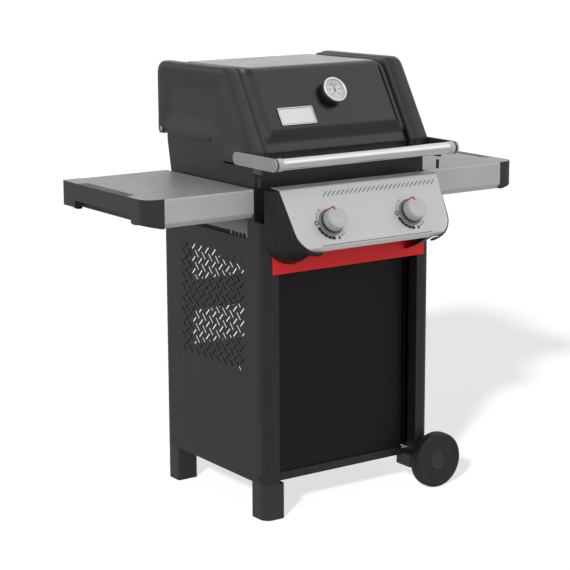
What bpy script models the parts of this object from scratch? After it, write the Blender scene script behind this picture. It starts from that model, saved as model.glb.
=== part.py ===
"""Two-burner gas barbecue on a four-post cart, in metres, +Z up, front facing -Y.

Every piece is built in the cart's own frame: X = 0 between the side panels, Y = 0 midway
between the front and back of the posts, Z = 0 on the ground. At the end all pieces hang
from one empty that puts the middle of the bounding box over the origin.
"""

import math

import bmesh
import bpy
from mathutils import Matrix, Vector

# ---------------------------------------------------------------- driving dimensions
GAP = 0.0003            # between pieces that touch
RUNNING = 0.00025       # radial clearance of a pin or axle in its hole

# cart
CART_WIDTH = 0.5514
CART_DEPTH = 0.5024
POST_FACE = 0.047       # post width across the front
POST_SIDE_FRONT = 0.035 # front post, along the side
POST_SIDE_BACK = 0.080  # back post, along the side
POST_RADIUS = 0.025
POST_WALL = 0.002
FOOT_HEIGHT = 0.0975
FOOT_WIDTH = 0.063
FOOT_DEPTH = 0.066
FOOT_WALL = 0.003
SHEET = 0.0015          # side and front panels
PANEL_RECESS = 0.0430   # front panel behind the post faces
FRONT_PANEL_WIDTH = 0.424
RAIL_RECESS = 0.0378
RAIL_HEIGHT = 0.022
CROSSBAR_LOW = 0.664
CROSSBAR_HEIGHT = 0.050
CROSSBAR_WIDTH = 0.500
CROSSBAR_SHEET = 0.002
BACK_MEMBER_TOPS = (0.560, 0.374)
BACK_MEMBER_HEIGHT = 0.085
WINDOW_LOW = 0.752      # notch in the side panel under the table
WINDOW_BACK = 0.150
WINDOW_FRONT = -0.1765

# wheels
WHEEL_RADIUS = 0.078
WHEEL_WIDTH = 0.030
WHEEL_CLEARANCE = 0.006
AXLE_RADIUS = 0.005
AXLE_X = 0.286
HUB_CAP_RADIUS = 0.026

# cookbox
COOKBOX_LOW = 0.800
COOKBOX_WIDTH = 0.552
COOKBOX_FRONT = -0.212
COOKBOX_BACK = 0.215      # at the rim
COOKBOX_BACK_LOW = 0.181  # at the floor
COOKBOX_BEND = 0.969      # the back wall leans below this height
COOKBOX_WALL = 0.004
COOKBOX_TOP = 0.990
COOKBOX_FRONT_TOP = 0.938
STEP_Y = -0.045         # where the rim steps down towards the front
DRAIN_WIDTH = 0.200
DRAIN_DEPTH = 0.100
LEDGE = 0.012
GRATE_REST = 0.9140     # top of the grate ledges
BAR_REST = 0.868        # top of the heat bar ledges
BOSS_SPREAD = 0.120     # table bosses in front of and behind the middle
BOSS_Z = 0.858
BOSS_RADIUS = 0.009

# cooking pieces
GRATE_THICKNESS = 0.012
GRATE_SLOTS = 8
BAR_COUNT = 3
BAR_HALF = 0.036
BAR_RISE = 0.030
BURNER_RADIUS = 0.0127
BURNER_Z = 0.828
RACK_Z = 1.030
RACK_DEPTH = 0.110
RACK_BACK = 0.175

# lid
LID_HALF = 0.2867
LID_SHELL_HALF = 0.2405
LID_WALL = 0.003
LID_TOP = 1.183
LID_BACK = 0.243
LID_FRONT_TOP = -0.0930
LID_FRONT_LOW = -0.2170
LID_LOW = 0.978
LID_BAND = 0.0065       # the end caps stand this far above the shell
LID_SIDE_LOW = 0.9975   # side edge behind the step
LID_SIDE_FRONT_LOW = 0.9450
LID_FRONT_CORNER = 0.040
LID_BACK_CORNER = 0.020
HINGE_Y = 0.225
HINGE_Z = 1.000
HINGE_PIN_RADIUS = 0.004
HINGE_EAR = 0.0125

# handle
HANDLE_Y = -0.323
HANDLE_Z = 0.9610
HANDLE_RADIUS = 0.0155
ARM_HEIGHT = 0.034
ARM_THICKNESS = 0.010
ARM_BACK = -0.142
COLLAR_RISE = 0.0015     # of the collars over the tube
COLLAR_WIDTH = 0.014
BUMPER_PIN = 0.0043
BUMPER_WIDTH = 0.009
BUMPER_Y = -0.251

# thermometer and badge
DIAL_RADIUS = 0.0340
DIAL_X = 0.019
DIAL_Z = 1.1075
DIAL_DEPTH = 0.0195
BADGE_SIZE = (0.111, 0.050)
BADGE_THICKNESS = 0.003
BADGE_X = -0.1125
BADGE_Z = 1.0585

# control panel
FACE_REACH = 0.0448             # top edge of the face in front of the posts
FACE_TOP_Z = 0.8884
FACE_LENGTH = 0.1606
FACE_LEAN_DEG = 29.3
FACE_HALF_TOP = 0.2567
FACE_HALF_LOW = 0.2440
FACE_CORNER = 0.062
FACE_SHEET = 0.0015
FACE_RETURN = 0.034
FACE_LIP = 0.012
SHROUD_WALL = 0.003
SHROUD_LOW = 0.686
SHROUD_TIP_HALF = 0.184

# knobs
KNOB_X = 0.1297
KNOB_DOWN = 0.0969      # from the face's top edge to the knob's axis
KNOB_RADIUS = 0.0285
KNOB_LENGTH = 0.0300
KNOB_OFF = 0.0045       # gap behind the knob, which leaves room for the push
BEZEL_RADIUS = 0.0365
BEZEL_DEPTH = 0.003
STEM_RADIUS = 0.004
STEM_HOLE = 0.0065

# side tables
TABLE_TOP = 0.8872
TABLE_FRONT = -0.220
TABLE_BACK = 0.214
TABLE_INNER = 0.2843
TABLE_OUTER = 0.5501
TABLE_END = 0.6060
TABLE_SKIRT = 0.0620
TABLE_LIP = 0.0130
TABLE_SHEET = 0.002
CAP_CORNER = 0.038
CAP_BACK_CORNER = 0.012
CAP_WALL = 0.003
CAP_END_HEIGHT = 0.046
CAP_CORNER_BLOCK = 0.072
CAP_RIM = 0.0035        # of the cap, seen around the table's sheet
CAP_RISE = 0.013        # the cap's lower edge is this much higher at its end
GRIP_DEPTH = 0.0315     # notch in the sheet where the cap comes through
GRIP_FRONT = -0.118
GRIP_BACK = 0.126

# grease tray
TRAY_TOP = 0.748
TRAY_LOW = 0.637
TRAY_HALF_TOP = 0.219
TRAY_HALF_LOW = 0.163
TRAY_FRONT = -0.190
TRAY_BACK = 0.165
TRAY_WALL = 0.002

# ---------------------------------------------------------------- derived places
HALF_WIDTH = CART_WIDTH / 2
FRONT = -CART_DEPTH / 2
BACK = CART_DEPTH / 2
FACE_TOP = (FRONT - FACE_REACH, FACE_TOP_Z)     # Y, Z of the top edge of the face
COLLAR_RADIUS = HANDLE_RADIUS + COLLAR_RISE
POST_TOP = COOKBOX_LOW - GAP
LEAN = math.radians(FACE_LEAN_DEG)
FACE_OUT = Vector((0, -math.cos(LEAN), math.sin(LEAN)))
FACE_DOWN = Vector((0, -math.sin(LEAN), -math.cos(LEAN)))
LID_LEAN = math.atan2(LID_FRONT_TOP - LID_FRONT_LOW, LID_TOP - LID_LOW)
LID_OUT = Vector((0, -math.cos(LID_LEAN), math.sin(LID_LEAN)))
GRATE_LOW = GRATE_REST + GAP
INSIDE = COOKBOX_WIDTH / 2 - COOKBOX_WALL


# ---------------------------------------------------------------- small tools
def clear_scene():
    for obj in list(bpy.data.objects):
        bpy.data.objects.remove(obj, do_unlink=True)


def make_material(name, colour, metallic=0.0, roughness=0.5):
    material = bpy.data.materials.new(name)
    material.use_nodes = True
    shader = material.node_tree.nodes["Principled BSDF"]
    shader.inputs["Base Color"].default_value = (*colour, 1)
    shader.inputs["Metallic"].default_value = metallic
    shader.inputs["Roughness"].default_value = roughness
    material.diffuse_color = (*colour, 1)
    return material


def make_object(name, bm, material, pivot=(0, 0, 0)):
    """Turns a bmesh in cart coordinates into an object whose origin is at pivot."""
    bmesh.ops.recalc_face_normals(bm, faces=bm.faces)
    bmesh.ops.translate(bm, verts=bm.verts, vec=-Vector(pivot))
    mesh = bpy.data.meshes.new(name)
    bm.to_mesh(mesh)
    bm.free()
    mesh.shade_smooth()
    mesh.set_sharp_from_angle(angle=math.radians(35))
    mesh.materials.append(material)
    obj = bpy.data.objects.new(name, mesh)
    obj.location = pivot
    bpy.context.scene.collection.objects.link(obj)
    return obj


def arc(centre, radius, start, end, steps=6):
    """Points on a circle from start to end degrees, both included."""
    angles = [math.radians(start + (end - start) * i / steps) for i in range(steps + 1)]
    return [(centre[0] + radius * math.cos(a), centre[1] + radius * math.sin(a)) for a in angles]


def fillet(points, radii, steps=5, closed=True):
    """The outline with each corner rounded by its radius (0 keeps it sharp)."""
    result = []
    count = len(points)
    for i, (point, radius) in enumerate(zip(points, radii)):
        corner = Vector(point)
        if radius <= 0 or (not closed and i in (0, count - 1)):
            result.append(tuple(corner))
            continue
        before = (Vector(points[i - 1]) - corner).normalized()
        after = (Vector(points[(i + 1) % count]) - corner).normalized()
        half = before.angle(after) / 2
        centre = corner + (before + after).normalized() * radius / math.sin(half)
        first = corner + before * radius / math.tan(half) - centre
        last = corner + after * radius / math.tan(half) - centre
        turn = first.angle_signed(last)
        for k in range(steps + 1):
            c, s = math.cos(-turn * k / steps), math.sin(-turn * k / steps)
            result.append((centre.x + first.x * c - first.y * s, centre.y + first.x * s + first.y * c))
    return result


def rounded_rectangle(low, high, radius, steps=5):
    corners = [(low[0], low[1]), (high[0], low[1]), (high[0], high[1]), (low[0], high[1])]
    radii = radius if isinstance(radius, (list, tuple)) else [radius] * 4
    return fillet(corners, radii, steps)


def offset_path(path, distance, closed=False):
    """The path moved sideways to its left by distance, with mitred corners."""
    moved = []
    count = len(path)
    for i, point in enumerate(path):
        here = Vector(point)
        ways = []
        if closed or i > 0:
            ways.append((here - Vector(path[i - 1])).normalized())
        if closed or i < count - 1:
            ways.append((Vector(path[(i + 1) % count]) - here).normalized())
        lefts = [Vector((-way.y, way.x)) for way in ways]
        middle = sum(lefts, Vector((0, 0))).normalized()
        moved.append(tuple(here + middle * distance / middle.dot(lefts[0])))
    return moved


def strip(path, thickness):
    """A closed outline around an open path: the path itself and its copy to the left."""
    return list(path) + offset_path(path, thickness)[::-1]


def to_space(point, along, axis):
    """A 2D outline point set in space: X takes (Y, Z), Y takes (X, Z), Z takes (X, Y)."""
    a, b = point
    return {"X": (along, a, b), "Y": (a, along, b), "Z": (a, b, along)}[axis]


def prism(outline, axis, low, high):
    bm = bmesh.new()
    ends = [[bm.verts.new(to_space(p, at, axis)) for p in outline] for at in (low, high)]
    bm.faces.new(ends[0])
    bm.faces.new(ends[1])
    count = len(outline)
    for i in range(count):
        j = (i + 1) % count
        bm.faces.new((ends[0][i], ends[0][j], ends[1][j], ends[1][i]))
    return bm


def hollow_prism(outline, inner, axis, low, high):
    """A tube between two outlines with the same number of points, open at both ends."""
    bm = bmesh.new()
    rings = [[bm.verts.new(to_space(p, at, axis)) for p in ring]
             for ring, at in ((outline, low), (outline, high), (inner, high), (inner, low))]
    count = len(outline)
    for r in range(4):
        for i in range(count):
            j = (i + 1) % count
            after = rings[(r + 1) % 4]
            bm.faces.new((rings[r][i], rings[r][j], after[j], after[i]))
    return bm


def loft(sections):
    """A closed body through sections with the same number of points each."""
    bm = bmesh.new()
    rings = [[bm.verts.new(p) for p in section] for section in sections]
    bm.faces.new(rings[0])
    bm.faces.new(rings[-1])
    for first, second in zip(rings, rings[1:]):
        for i in range(len(first)):
            j = (i + 1) % len(first)
            bm.faces.new((first[i], first[j], second[j], second[i]))
    return bm


def turned(profile, segments=24):
    """A closed profile of (radius, height) turned about Z; radius 0 closes on the axis."""
    bm = bmesh.new()
    rings = []
    for radius, height in profile:
        if radius == 0:
            rings.append([bm.verts.new((0, 0, height))])
            continue
        angles = [2 * math.pi * i / segments for i in range(segments)]
        rings.append([bm.verts.new((radius * math.cos(a), radius * math.sin(a), height)) for a in angles])
    solid = profile[0][0] == 0
    pairs = list(zip(rings, rings[1:])) + ([] if solid else [(rings[-1], rings[0])])
    for first, second in pairs:
        for i in range(segments):
            j = (i + 1) % segments
            corners = [first[i % len(first)], first[j % len(first)],
                       second[j % len(second)], second[i % len(second)]]
            bm.faces.new(list(dict.fromkeys(corners)))
    return bm


def aim(bm, point, direction):
    """Turns a bmesh made along +Z so that it points along direction, and moves it to point."""
    turn = Vector((0, 0, 1)).rotation_difference(Vector(direction).normalized())
    matrix = Matrix.Translation(Vector(point)) @ turn.to_matrix().to_4x4()
    bmesh.ops.transform(bm, matrix=matrix, verts=bm.verts)
    return bm


def rod(start, end, radius, segments=12):
    way = Vector(end) - Vector(start)
    return aim(turned([(0, 0), (radius, 0), (radius, way.length), (0, way.length)], segments), start, way)


def block(low, high):
    outline = [(low[0], low[1]), (high[0], low[1]), (high[0], high[1]), (low[0], high[1])]
    return prism(outline, "Z", low[2], high[2])


def lattice(xs, ys, low, high, is_solid):
    """A flat plate made of the cells between the xs and ys that is_solid(i, j) keeps."""
    bm = bmesh.new()
    cells = {(i, j) for i in range(len(xs) - 1) for j in range(len(ys) - 1) if is_solid(i, j)}
    verts = {}

    def corner(i, j, z):
        if (i, j, z) not in verts:
            verts[i, j, z] = bm.verts.new((xs[i], ys[j], z))
        return verts[i, j, z]

    for i, j in sorted(cells):
        square = [(i, j), (i + 1, j), (i + 1, j + 1), (i, j + 1)]
        for z in (low, high):
            bm.faces.new([corner(*c, z) for c in square])
        for k, beside in enumerate([(i, j - 1), (i + 1, j), (i, j + 1), (i - 1, j)]):
            if beside not in cells:
                a, b = square[k], square[(k + 1) % 4]
                bm.faces.new((corner(*a, low), corner(*b, low), corner(*b, high), corner(*a, high)))
    return bm


def combine(obj, bm, operation):
    """Cuts a bmesh from the object or joins it on, with a Boolean that stays on the object."""
    helper = make_object(f"{operation.lower()}_{obj.name}_{len(obj.modifiers)}", bm, obj.data.materials[0])
    helper.location -= obj.location
    helper.parent = obj
    helper.hide_render = True
    helper.display_type = "WIRE"
    modifier = obj.modifiers.new(operation.lower(), "BOOLEAN")
    modifier.operation = operation
    modifier.object = helper
    modifier.solver = "EXACT"


def cut(obj, bm):
    combine(obj, bm, "DIFFERENCE")


def join(obj, bm):
    combine(obj, bm, "UNION")


def mirrored(points, side):
    """Plan points with X turned to the given side, kept in the same turning direction."""
    return points if side > 0 else [(-x, y) for x, y in reversed(points)]


def span(a, b):
    return min(a, b), max(a, b)


def face_point(x, down, out=0.0):
    """A point on the control panel's face: down from its top edge, out along its normal."""
    top = Vector((x, *FACE_TOP))
    return top + FACE_DOWN * down + FACE_OUT * out


def lid_front_point(x, z, out=0.0):
    """A point on the sloping front of the lid shell at height z."""
    y = LID_FRONT_LOW + (z - LID_LOW) * (LID_FRONT_TOP - LID_FRONT_LOW) / (LID_TOP - LID_LOW)
    return Vector((x, y, z)) + LID_OUT * out


# ---------------------------------------------------------------- materials
def make_materials():
    return {
        "powder_coat": make_material("black powder coat on sheet steel", (0.020, 0.020, 0.021), 0.2, 0.45),
        "lid_enamel": make_material("black porcelain enamel", (0.018, 0.018, 0.019), 0.1, 0.35),
        "cast_aluminium": make_material("black painted cast aluminium", (0.022, 0.022, 0.023), 0.2, 0.42),
        "silver_paint": make_material("silver painted steel", (0.46, 0.46, 0.46), 0.4, 0.42),
        "stainless": make_material("stainless steel tube", (0.60, 0.60, 0.60), 1.0, 0.25),
        "black_plastic": make_material("black glass-filled nylon", (0.018, 0.018, 0.018), 0.0, 0.5),
        "silver_plastic": make_material("silver painted plastic", (0.47, 0.47, 0.47), 0.2, 0.4),
        "red_paint": make_material("red powder coat", (0.50, 0.022, 0.024), 0.0, 0.42),
        "galvanised": make_material("aluminised steel", (0.48, 0.48, 0.48), 0.8, 0.45),
        "cast_iron": make_material("enamelled cast iron", (0.016, 0.016, 0.016), 0.3, 0.55),
        "brass": make_material("brass", (0.55, 0.38, 0.14), 1.0, 0.3),
        "needle_red": make_material("red needle", (0.55, 0.02, 0.02), 0.0, 0.4),
    }


# ---------------------------------------------------------------- cart
def post_outline(side, front, depth):
    """Plan of a post: a closed section with one round outer corner."""
    outer = HALF_WIDTH
    inner = HALF_WIDTH - POST_FACE
    if front:
        corners = [(inner, FRONT), (outer, FRONT), (outer, FRONT + depth), (inner, FRONT + depth)]
        radii = [0, POST_RADIUS, 0, 0]
    else:
        corners = [(inner, BACK - depth), (outer, BACK - depth), (outer, BACK), (inner, BACK)]
        radii = [0, 0, POST_RADIUS, 0]
    return mirrored(fillet(corners, radii, 6), side)


def make_posts(mats):
    for side, word in ((-1, "left"), (1, "right")):
        for front, depth, place in ((True, POST_SIDE_FRONT, "front"), (False, POST_SIDE_BACK, "back")):
            outline = post_outline(side, front, depth)
            inner = offset_path(outline, POST_WALL, closed=True)
            bm = hollow_prism(outline, inner, "Z", FOOT_HEIGHT + GAP, POST_TOP)
            make_object(f"post_{place}_{word}", bm, mats["powder_coat"])


def foot_outline(side, front, reach=0.0):
    outer = HALF_WIDTH + reach
    inner = HALF_WIDTH - FOOT_WIDTH
    low, high = (FRONT, FRONT + FOOT_DEPTH) if front else (BACK - FOOT_DEPTH, BACK)
    radii = [0.006, POST_RADIUS, 0.006, 0.006] if front else [0.006, 0.006, POST_RADIUS, 0.006]
    return mirrored(rounded_rectangle((inner, low), (outer, high), radii, 4), side)


def make_feet(mats):
    """Two tall feet under the left posts, two axle blocks under the right posts, wheels outside them."""
    for front, place in ((True, "front"), (False, "back")):
        foot = make_object(f"foot_{place}_left", prism(foot_outline(-1, front), "Z", 0, FOOT_HEIGHT),
                           mats["black_plastic"])
        pocket = offset_path(foot_outline(-1, front), FOOT_WALL, closed=True)
        cut(foot, prism(pocket, "Z", FOOT_WALL * 2, FOOT_HEIGHT + 0.01))
        bracket_low = WHEEL_RADIUS - AXLE_RADIUS - 0.012
        outline = foot_outline(1, front, reach=AXLE_X + AXLE_RADIUS + 0.009 - HALF_WIDTH)
        bracket = make_object(f"axle_bracket_{place}", prism(outline, "Z", bracket_low, FOOT_HEIGHT),
                              mats["black_plastic"])
        cut(bracket, rod((AXLE_X, FRONT - 0.02, WHEEL_RADIUS), (AXLE_X, BACK + 0.02, WHEEL_RADIUS),
                         AXLE_RADIUS + RUNNING, 16))


def make_axle_and_wheels(mats):
    outer = WHEEL_CLEARANCE + WHEEL_WIDTH
    axle_end = BACK + outer - 0.010
    make_object("axle", rod((AXLE_X, -axle_end, WHEEL_RADIUS), (AXLE_X, axle_end, WHEEL_RADIUS),
                            AXLE_RADIUS, 16), mats["galvanised"])
    bore = AXLE_RADIUS + RUNNING
    web = 0.010
    rim = WHEEL_RADIUS - 0.016
    hub = HUB_CAP_RADIUS - 0.006
    profile = [
        (bore, 0), (hub, 0), (hub, 0.006), (rim, 0.006), (rim, 0), (WHEEL_RADIUS - 0.003, 0),
        (WHEEL_RADIUS, 0.004), (WHEEL_RADIUS, WHEEL_WIDTH - 0.005), (WHEEL_RADIUS - 0.005, WHEEL_WIDTH),
        (WHEEL_RADIUS - 0.017, WHEEL_WIDTH), (WHEEL_RADIUS - 0.020, WHEEL_WIDTH - 0.002),
        (HUB_CAP_RADIUS + 0.008, WHEEL_WIDTH - 0.002), (HUB_CAP_RADIUS + 0.006, WHEEL_WIDTH),
        (HUB_CAP_RADIUS + 0.0004, WHEEL_WIDTH), (HUB_CAP_RADIUS + 0.0004, web), (bore, web),
    ]
    cap_height = WHEEL_WIDTH - 0.006
    cap = [
        (0, cap_height - 0.002), (HUB_CAP_RADIUS - 0.003, cap_height - 0.002), (HUB_CAP_RADIUS - 0.003, web + GAP),
        (HUB_CAP_RADIUS, web + GAP), (HUB_CAP_RADIUS, cap_height + 0.004),
        (HUB_CAP_RADIUS - 0.002, cap_height + 0.006), (0, cap_height + 0.006),
    ]
    for sign, place in ((-1, "front"), (1, "back")):
        inner_face = Vector((AXLE_X, sign * (BACK + WHEEL_CLEARANCE), WHEEL_RADIUS))
        pivot = (AXLE_X, sign * (BACK + outer), WHEEL_RADIUS)
        wheel = aim(turned(profile, 40), inner_face, (0, sign, 0))
        make_object(f"wheel_{place}", wheel, mats["black_plastic"], pivot)
        make_object(f"hub_cap_{place}", aim(turned(cap, 24), inner_face, (0, sign, 0)),
                    mats["black_plastic"], pivot)


def make_side_panels(mats):
    """A flat sheet between the posts with a notch at the top, under the side table."""
    front_edge = FRONT + POST_SIDE_FRONT + GAP
    back_edge = BACK - POST_SIDE_BACK - GAP
    outline = [
        (front_edge, FOOT_HEIGHT + GAP), (back_edge, FOOT_HEIGHT + GAP), (back_edge, POST_TOP),
        (WINDOW_BACK, POST_TOP), (WINDOW_BACK, WINDOW_LOW), (WINDOW_FRONT, WINDOW_LOW),
        (WINDOW_FRONT, POST_TOP), (front_edge, POST_TOP),
    ]
    top_flange = HALF_WIDTH - 0.020
    for side, word in ((-1, "left"), (1, "right")):
        outer = HALF_WIDTH - 0.0005
        low, high = span(side * (outer - SHEET), side * outer)
        panel = make_object(f"side_panel_{word}", prism(outline, "X", low, high), mats["powder_coat"])
        inner, edge = span(side * top_flange, side * (outer - SHEET / 2))
        join(panel, block((inner, WINDOW_FRONT, WINDOW_LOW - SHEET), (edge, WINDOW_BACK, WINDOW_LOW)))
        join(panel, block((inner, FRONT + FOOT_DEPTH + GAP, FOOT_HEIGHT + GAP),
                          (edge, BACK - FOOT_DEPTH - 0.020, FOOT_HEIGHT + GAP + SHEET)))


def make_cart_members(mats):
    inner = HALF_WIDTH - POST_FACE - GAP
    rail_front = FRONT + RAIL_RECESS
    rail_low = FOOT_HEIGHT - 0.006
    rail_top = rail_low + RAIL_HEIGHT
    path = [(rail_front + 0.018, rail_low), (rail_front, rail_low), (rail_front, rail_top),
            (rail_front + 0.018, rail_top)]
    foot_inner = HALF_WIDTH - FOOT_WIDTH - GAP
    section = strip(path, -0.002)
    make_object("bottom_rail_front", prism(section, "X", -foot_inner, foot_inner), mats["powder_coat"])
    back_section = [(-y, z) for y, z in section]
    make_object("bottom_rail_back", prism(back_section, "X", -foot_inner, foot_inner), mats["powder_coat"])

    panel_face = FRONT + PANEL_RECESS
    half = FRONT_PANEL_WIDTH / 2
    panel = make_object("front_panel", block((-half, panel_face, rail_top + GAP),
                                             (half, panel_face + SHEET, CROSSBAR_LOW + CROSSBAR_HEIGHT - 0.006)),
                        mats["powder_coat"])
    for side in (-1, 1):
        low, high = span(side * half, side * (half - SHEET))
        join(panel, block((low, panel_face + SHEET / 2, rail_top + GAP),
                          (high, panel_face + 0.020, CROSSBAR_LOW + CROSSBAR_HEIGHT - 0.006)))

    bar_front = FRONT - GAP - CROSSBAR_SHEET
    bar_half = CROSSBAR_WIDTH / 2
    low, high = CROSSBAR_LOW, CROSSBAR_LOW + CROSSBAR_HEIGHT
    bar = make_object("red_crossbar", block((-bar_half, bar_front, low), (bar_half, FRONT - GAP, high)),
                      mats["red_paint"])
    return_back = panel_face - GAP
    join(bar, block((-inner, bar_front + 0.001, high - SHEET), (inner, return_back, high)))
    join(bar, block((-inner, bar_front + 0.001, low), (inner, return_back, low + SHEET)))

    for top, word in zip(BACK_MEMBER_TOPS, ("upper", "lower")):
        face = BACK - 0.004
        path = [(face - 0.015, top - BACK_MEMBER_HEIGHT), (face, top - BACK_MEMBER_HEIGHT), (face, top),
                (face - 0.015, top)]
        make_object(f"back_member_{word}", prism(strip(path, SHEET), "X", -inner, inner),
                    mats["powder_coat"])


# ---------------------------------------------------------------- cookbox and what is in it
def inner_back(z):
    """Inside of the cookbox's back wall at height z: it leans, then stands up near the rim."""
    t = min((z - COOKBOX_LOW) / (COOKBOX_BEND - COOKBOX_LOW), 1)
    return COOKBOX_BACK_LOW + (COOKBOX_BACK - COOKBOX_BACK_LOW) * t - COOKBOX_WALL


def hinge_ear():
    """Side view of the ear: an arm off the back wall that ends round the hinge."""
    steps = 12
    start, end = math.radians(-125), math.radians(125)
    knuckle = []
    for k in range(steps + 1):
        angle = start + (end - start) * k / steps
        knuckle.append((HINGE_Y + HINGE_EAR * math.cos(angle), HINGE_Z + HINGE_EAR * math.sin(angle)))
    return [(COOKBOX_BACK - 0.030, COOKBOX_BEND), (COOKBOX_BACK - 0.001, COOKBOX_BEND),
            (COOKBOX_BACK - 0.001, COOKBOX_BEND + 0.015)] + knuckle


def make_cookbox(mats):
    """The firebox tub: deep at the back, lower at the front, with hinge ears and a drain."""
    half = COOKBOX_WIDTH / 2
    side_outline = fillet([
        (COOKBOX_FRONT, COOKBOX_LOW), (COOKBOX_BACK_LOW, COOKBOX_LOW), (COOKBOX_BACK, COOKBOX_BEND),
        (COOKBOX_BACK, COOKBOX_TOP), (STEP_Y + 0.030, COOKBOX_TOP), (STEP_Y - 0.020, COOKBOX_FRONT_TOP),
        (COOKBOX_FRONT, COOKBOX_FRONT_TOP),
    ], [0.006, 0.010, 0, 0.003, 0.030, 0.030, 0.004], 4)
    cookbox = make_object("cookbox", prism(side_outline, "X", -half, half), mats["cast_aluminium"])
    inner_front = COOKBOX_FRONT + COOKBOX_WALL
    cavity = []
    for z in (COOKBOX_LOW + COOKBOX_WALL, COOKBOX_BEND, COOKBOX_TOP + 0.02):
        plan = rounded_rectangle((-INSIDE, inner_front), (INSIDE, inner_back(z)), 0.008, 3)
        cavity.append([(x, y, z) for x, y in plan])
    cut(cookbox, loft(cavity))
    cut(cookbox, block((-DRAIN_WIDTH / 2, -DRAIN_DEPTH / 2, COOKBOX_LOW - 0.01),
                       (DRAIN_WIDTH / 2, DRAIN_DEPTH / 2, COOKBOX_LOW + 0.02)))
    for x in (-KNOB_X, KNOB_X):
        cut(cookbox, rod((x, COOKBOX_FRONT - 0.01, BURNER_Z), (x, inner_front + 0.01, BURNER_Z),
                         BURNER_RADIUS + 0.001, 16))
    reach = COOKBOX_WALL / 2
    for rest in (GRATE_REST, BAR_REST):
        join(cookbox, block((-INSIDE + 0.02, inner_front - reach, rest - 0.006),
                            (INSIDE - 0.02, inner_front + LEDGE, rest)))
        join(cookbox, block((-INSIDE + 0.02, inner_back(rest) - LEDGE, rest - 0.006),
                            (INSIDE - 0.02, inner_back(rest) + reach, rest)))
    for side in (-1, 1):
        for y in (-BOSS_SPREAD, BOSS_SPREAD):
            join(cookbox, rod((side * (half - COOKBOX_WALL / 2), y, BOSS_Z), (side * (TABLE_INNER - GAP), y, BOSS_Z),
                              BOSS_RADIUS, 12))
        low, high = span(side * INSIDE, side * half)
        join(cookbox, prism(hinge_ear(), "X", low, high))
        cut(cookbox, rod((side * (INSIDE - 0.01), HINGE_Y, HINGE_Z), (side * (half + 0.01), HINGE_Y, HINGE_Z),
                         HINGE_PIN_RADIUS + RUNNING, 16))


def make_hinge_pins(mats):
    """A headed pin on each side, through the lid's end cap and the cookbox's ear."""
    head = LID_HALF + GAP
    tail = INSIDE - 0.004
    profile = [(0, 0), (HINGE_PIN_RADIUS, 0), (HINGE_PIN_RADIUS, head - tail), (0.007, head - tail),
               (0.007, head - tail + 0.003), (0.006, head - tail + 0.004), (0, head - tail + 0.004)]
    for side, word in ((-1, "left"), (1, "right")):
        pin = aim(turned(profile, 16), (side * tail, HINGE_Y, HINGE_Z), (side, 0, 0))
        make_object(f"hinge_pin_{word}", pin, mats["galvanised"])


def make_cooking_pieces(mats):
    front = COOKBOX_FRONT + COOKBOX_WALL + 0.002
    back = inner_back(GRATE_REST) - 0.002
    width = INSIDE - 0.004
    for side, word in ((-1, "left"), (1, "right")):
        low, high = span(side * 0.0015, side * (width - 0.0015))
        frame = 0.010
        pitch = (high - low - frame) / GRATE_SLOTS
        bar = 0.007
        xs = [low]
        for k in range(GRATE_SLOTS):
            start = low + frame + k * pitch
            xs += [start, start + pitch - bar]
        xs[-1] = high - frame
        xs.append(high)
        middle = (front + back) / 2
        ys = [front, front + frame, middle - 0.005, middle + 0.005, back - frame, back]
        grate = lattice(xs, ys, GRATE_LOW, GRATE_LOW + GRATE_THICKNESS,
                        lambda i, j: i % 2 == 0 or j % 2 == 0)
        make_object(f"cooking_grate_{word}", grate, mats["cast_iron"])

    bar_low = BAR_REST + GAP
    spacing = 2 * KNOB_X / (BAR_COUNT - 1)
    for k in range(BAR_COUNT):
        x = -KNOB_X + k * spacing
        path = [(x - BAR_HALF, bar_low), (x - BAR_HALF + 0.004, bar_low + 0.004), (x, bar_low + BAR_RISE),
                (x + BAR_HALF - 0.004, bar_low + 0.004), (x + BAR_HALF, bar_low)]
        bar = strip(path, -0.0015)
        lowest = min(z for _, z in bar)
        bar = [(u, z + bar_low - lowest) for u, z in bar]
        make_object(f"heat_bar_{k + 1}", prism(bar, "Y", front + 0.001, inner_back(BAR_REST) - 0.002), mats["cast_iron"])

    rack_front = RACK_BACK - RACK_DEPTH
    wire = 0.005
    rack_half = INSIDE + COOKBOX_WALL - 0.0005
    ys = [rack_front]
    gaps = 4
    pitch = (RACK_DEPTH - wire) / gaps
    for k in range(gaps):
        ys += [rack_front + wire + k * pitch, rack_front + (k + 1) * pitch]
    ys.append(RACK_BACK)
    xs = [-rack_half, -rack_half + wire, -wire / 2, wire / 2, rack_half - wire, rack_half]
    rack = make_object("warming_rack", lattice(xs, ys, RACK_Z, RACK_Z + wire,
                                               lambda i, j: i % 2 == 0 or j % 2 == 0), mats["stainless"])
    for side in (-1, 1):
        low, high = span(side * (rack_half - wire), side * rack_half)
        for y in (rack_front, RACK_BACK - wire):
            join(rack, block((low, y, COOKBOX_TOP + GAP), (high, y + wire, RACK_Z + wire / 2)))


def make_burners(mats):
    start = COOKBOX_FRONT - 0.028
    end = inner_back(BURNER_Z) - 0.010
    wall = 0.0012
    for side, word in ((-1, "left"), (1, "right")):
        x = side * KNOB_X
        length = end - start
        profile = [
            (0, length - wall), (BURNER_RADIUS - wall, length - wall), (BURNER_RADIUS - wall, 0),
            (BURNER_RADIUS, 0), (BURNER_RADIUS, length), (0, length),
        ]
        burner = turned(profile, 20)
        aim(burner, (x, start, BURNER_Z), (0, 1, 0))
        make_object(f"burner_tube_{word}", burner, mats["stainless"])


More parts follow.
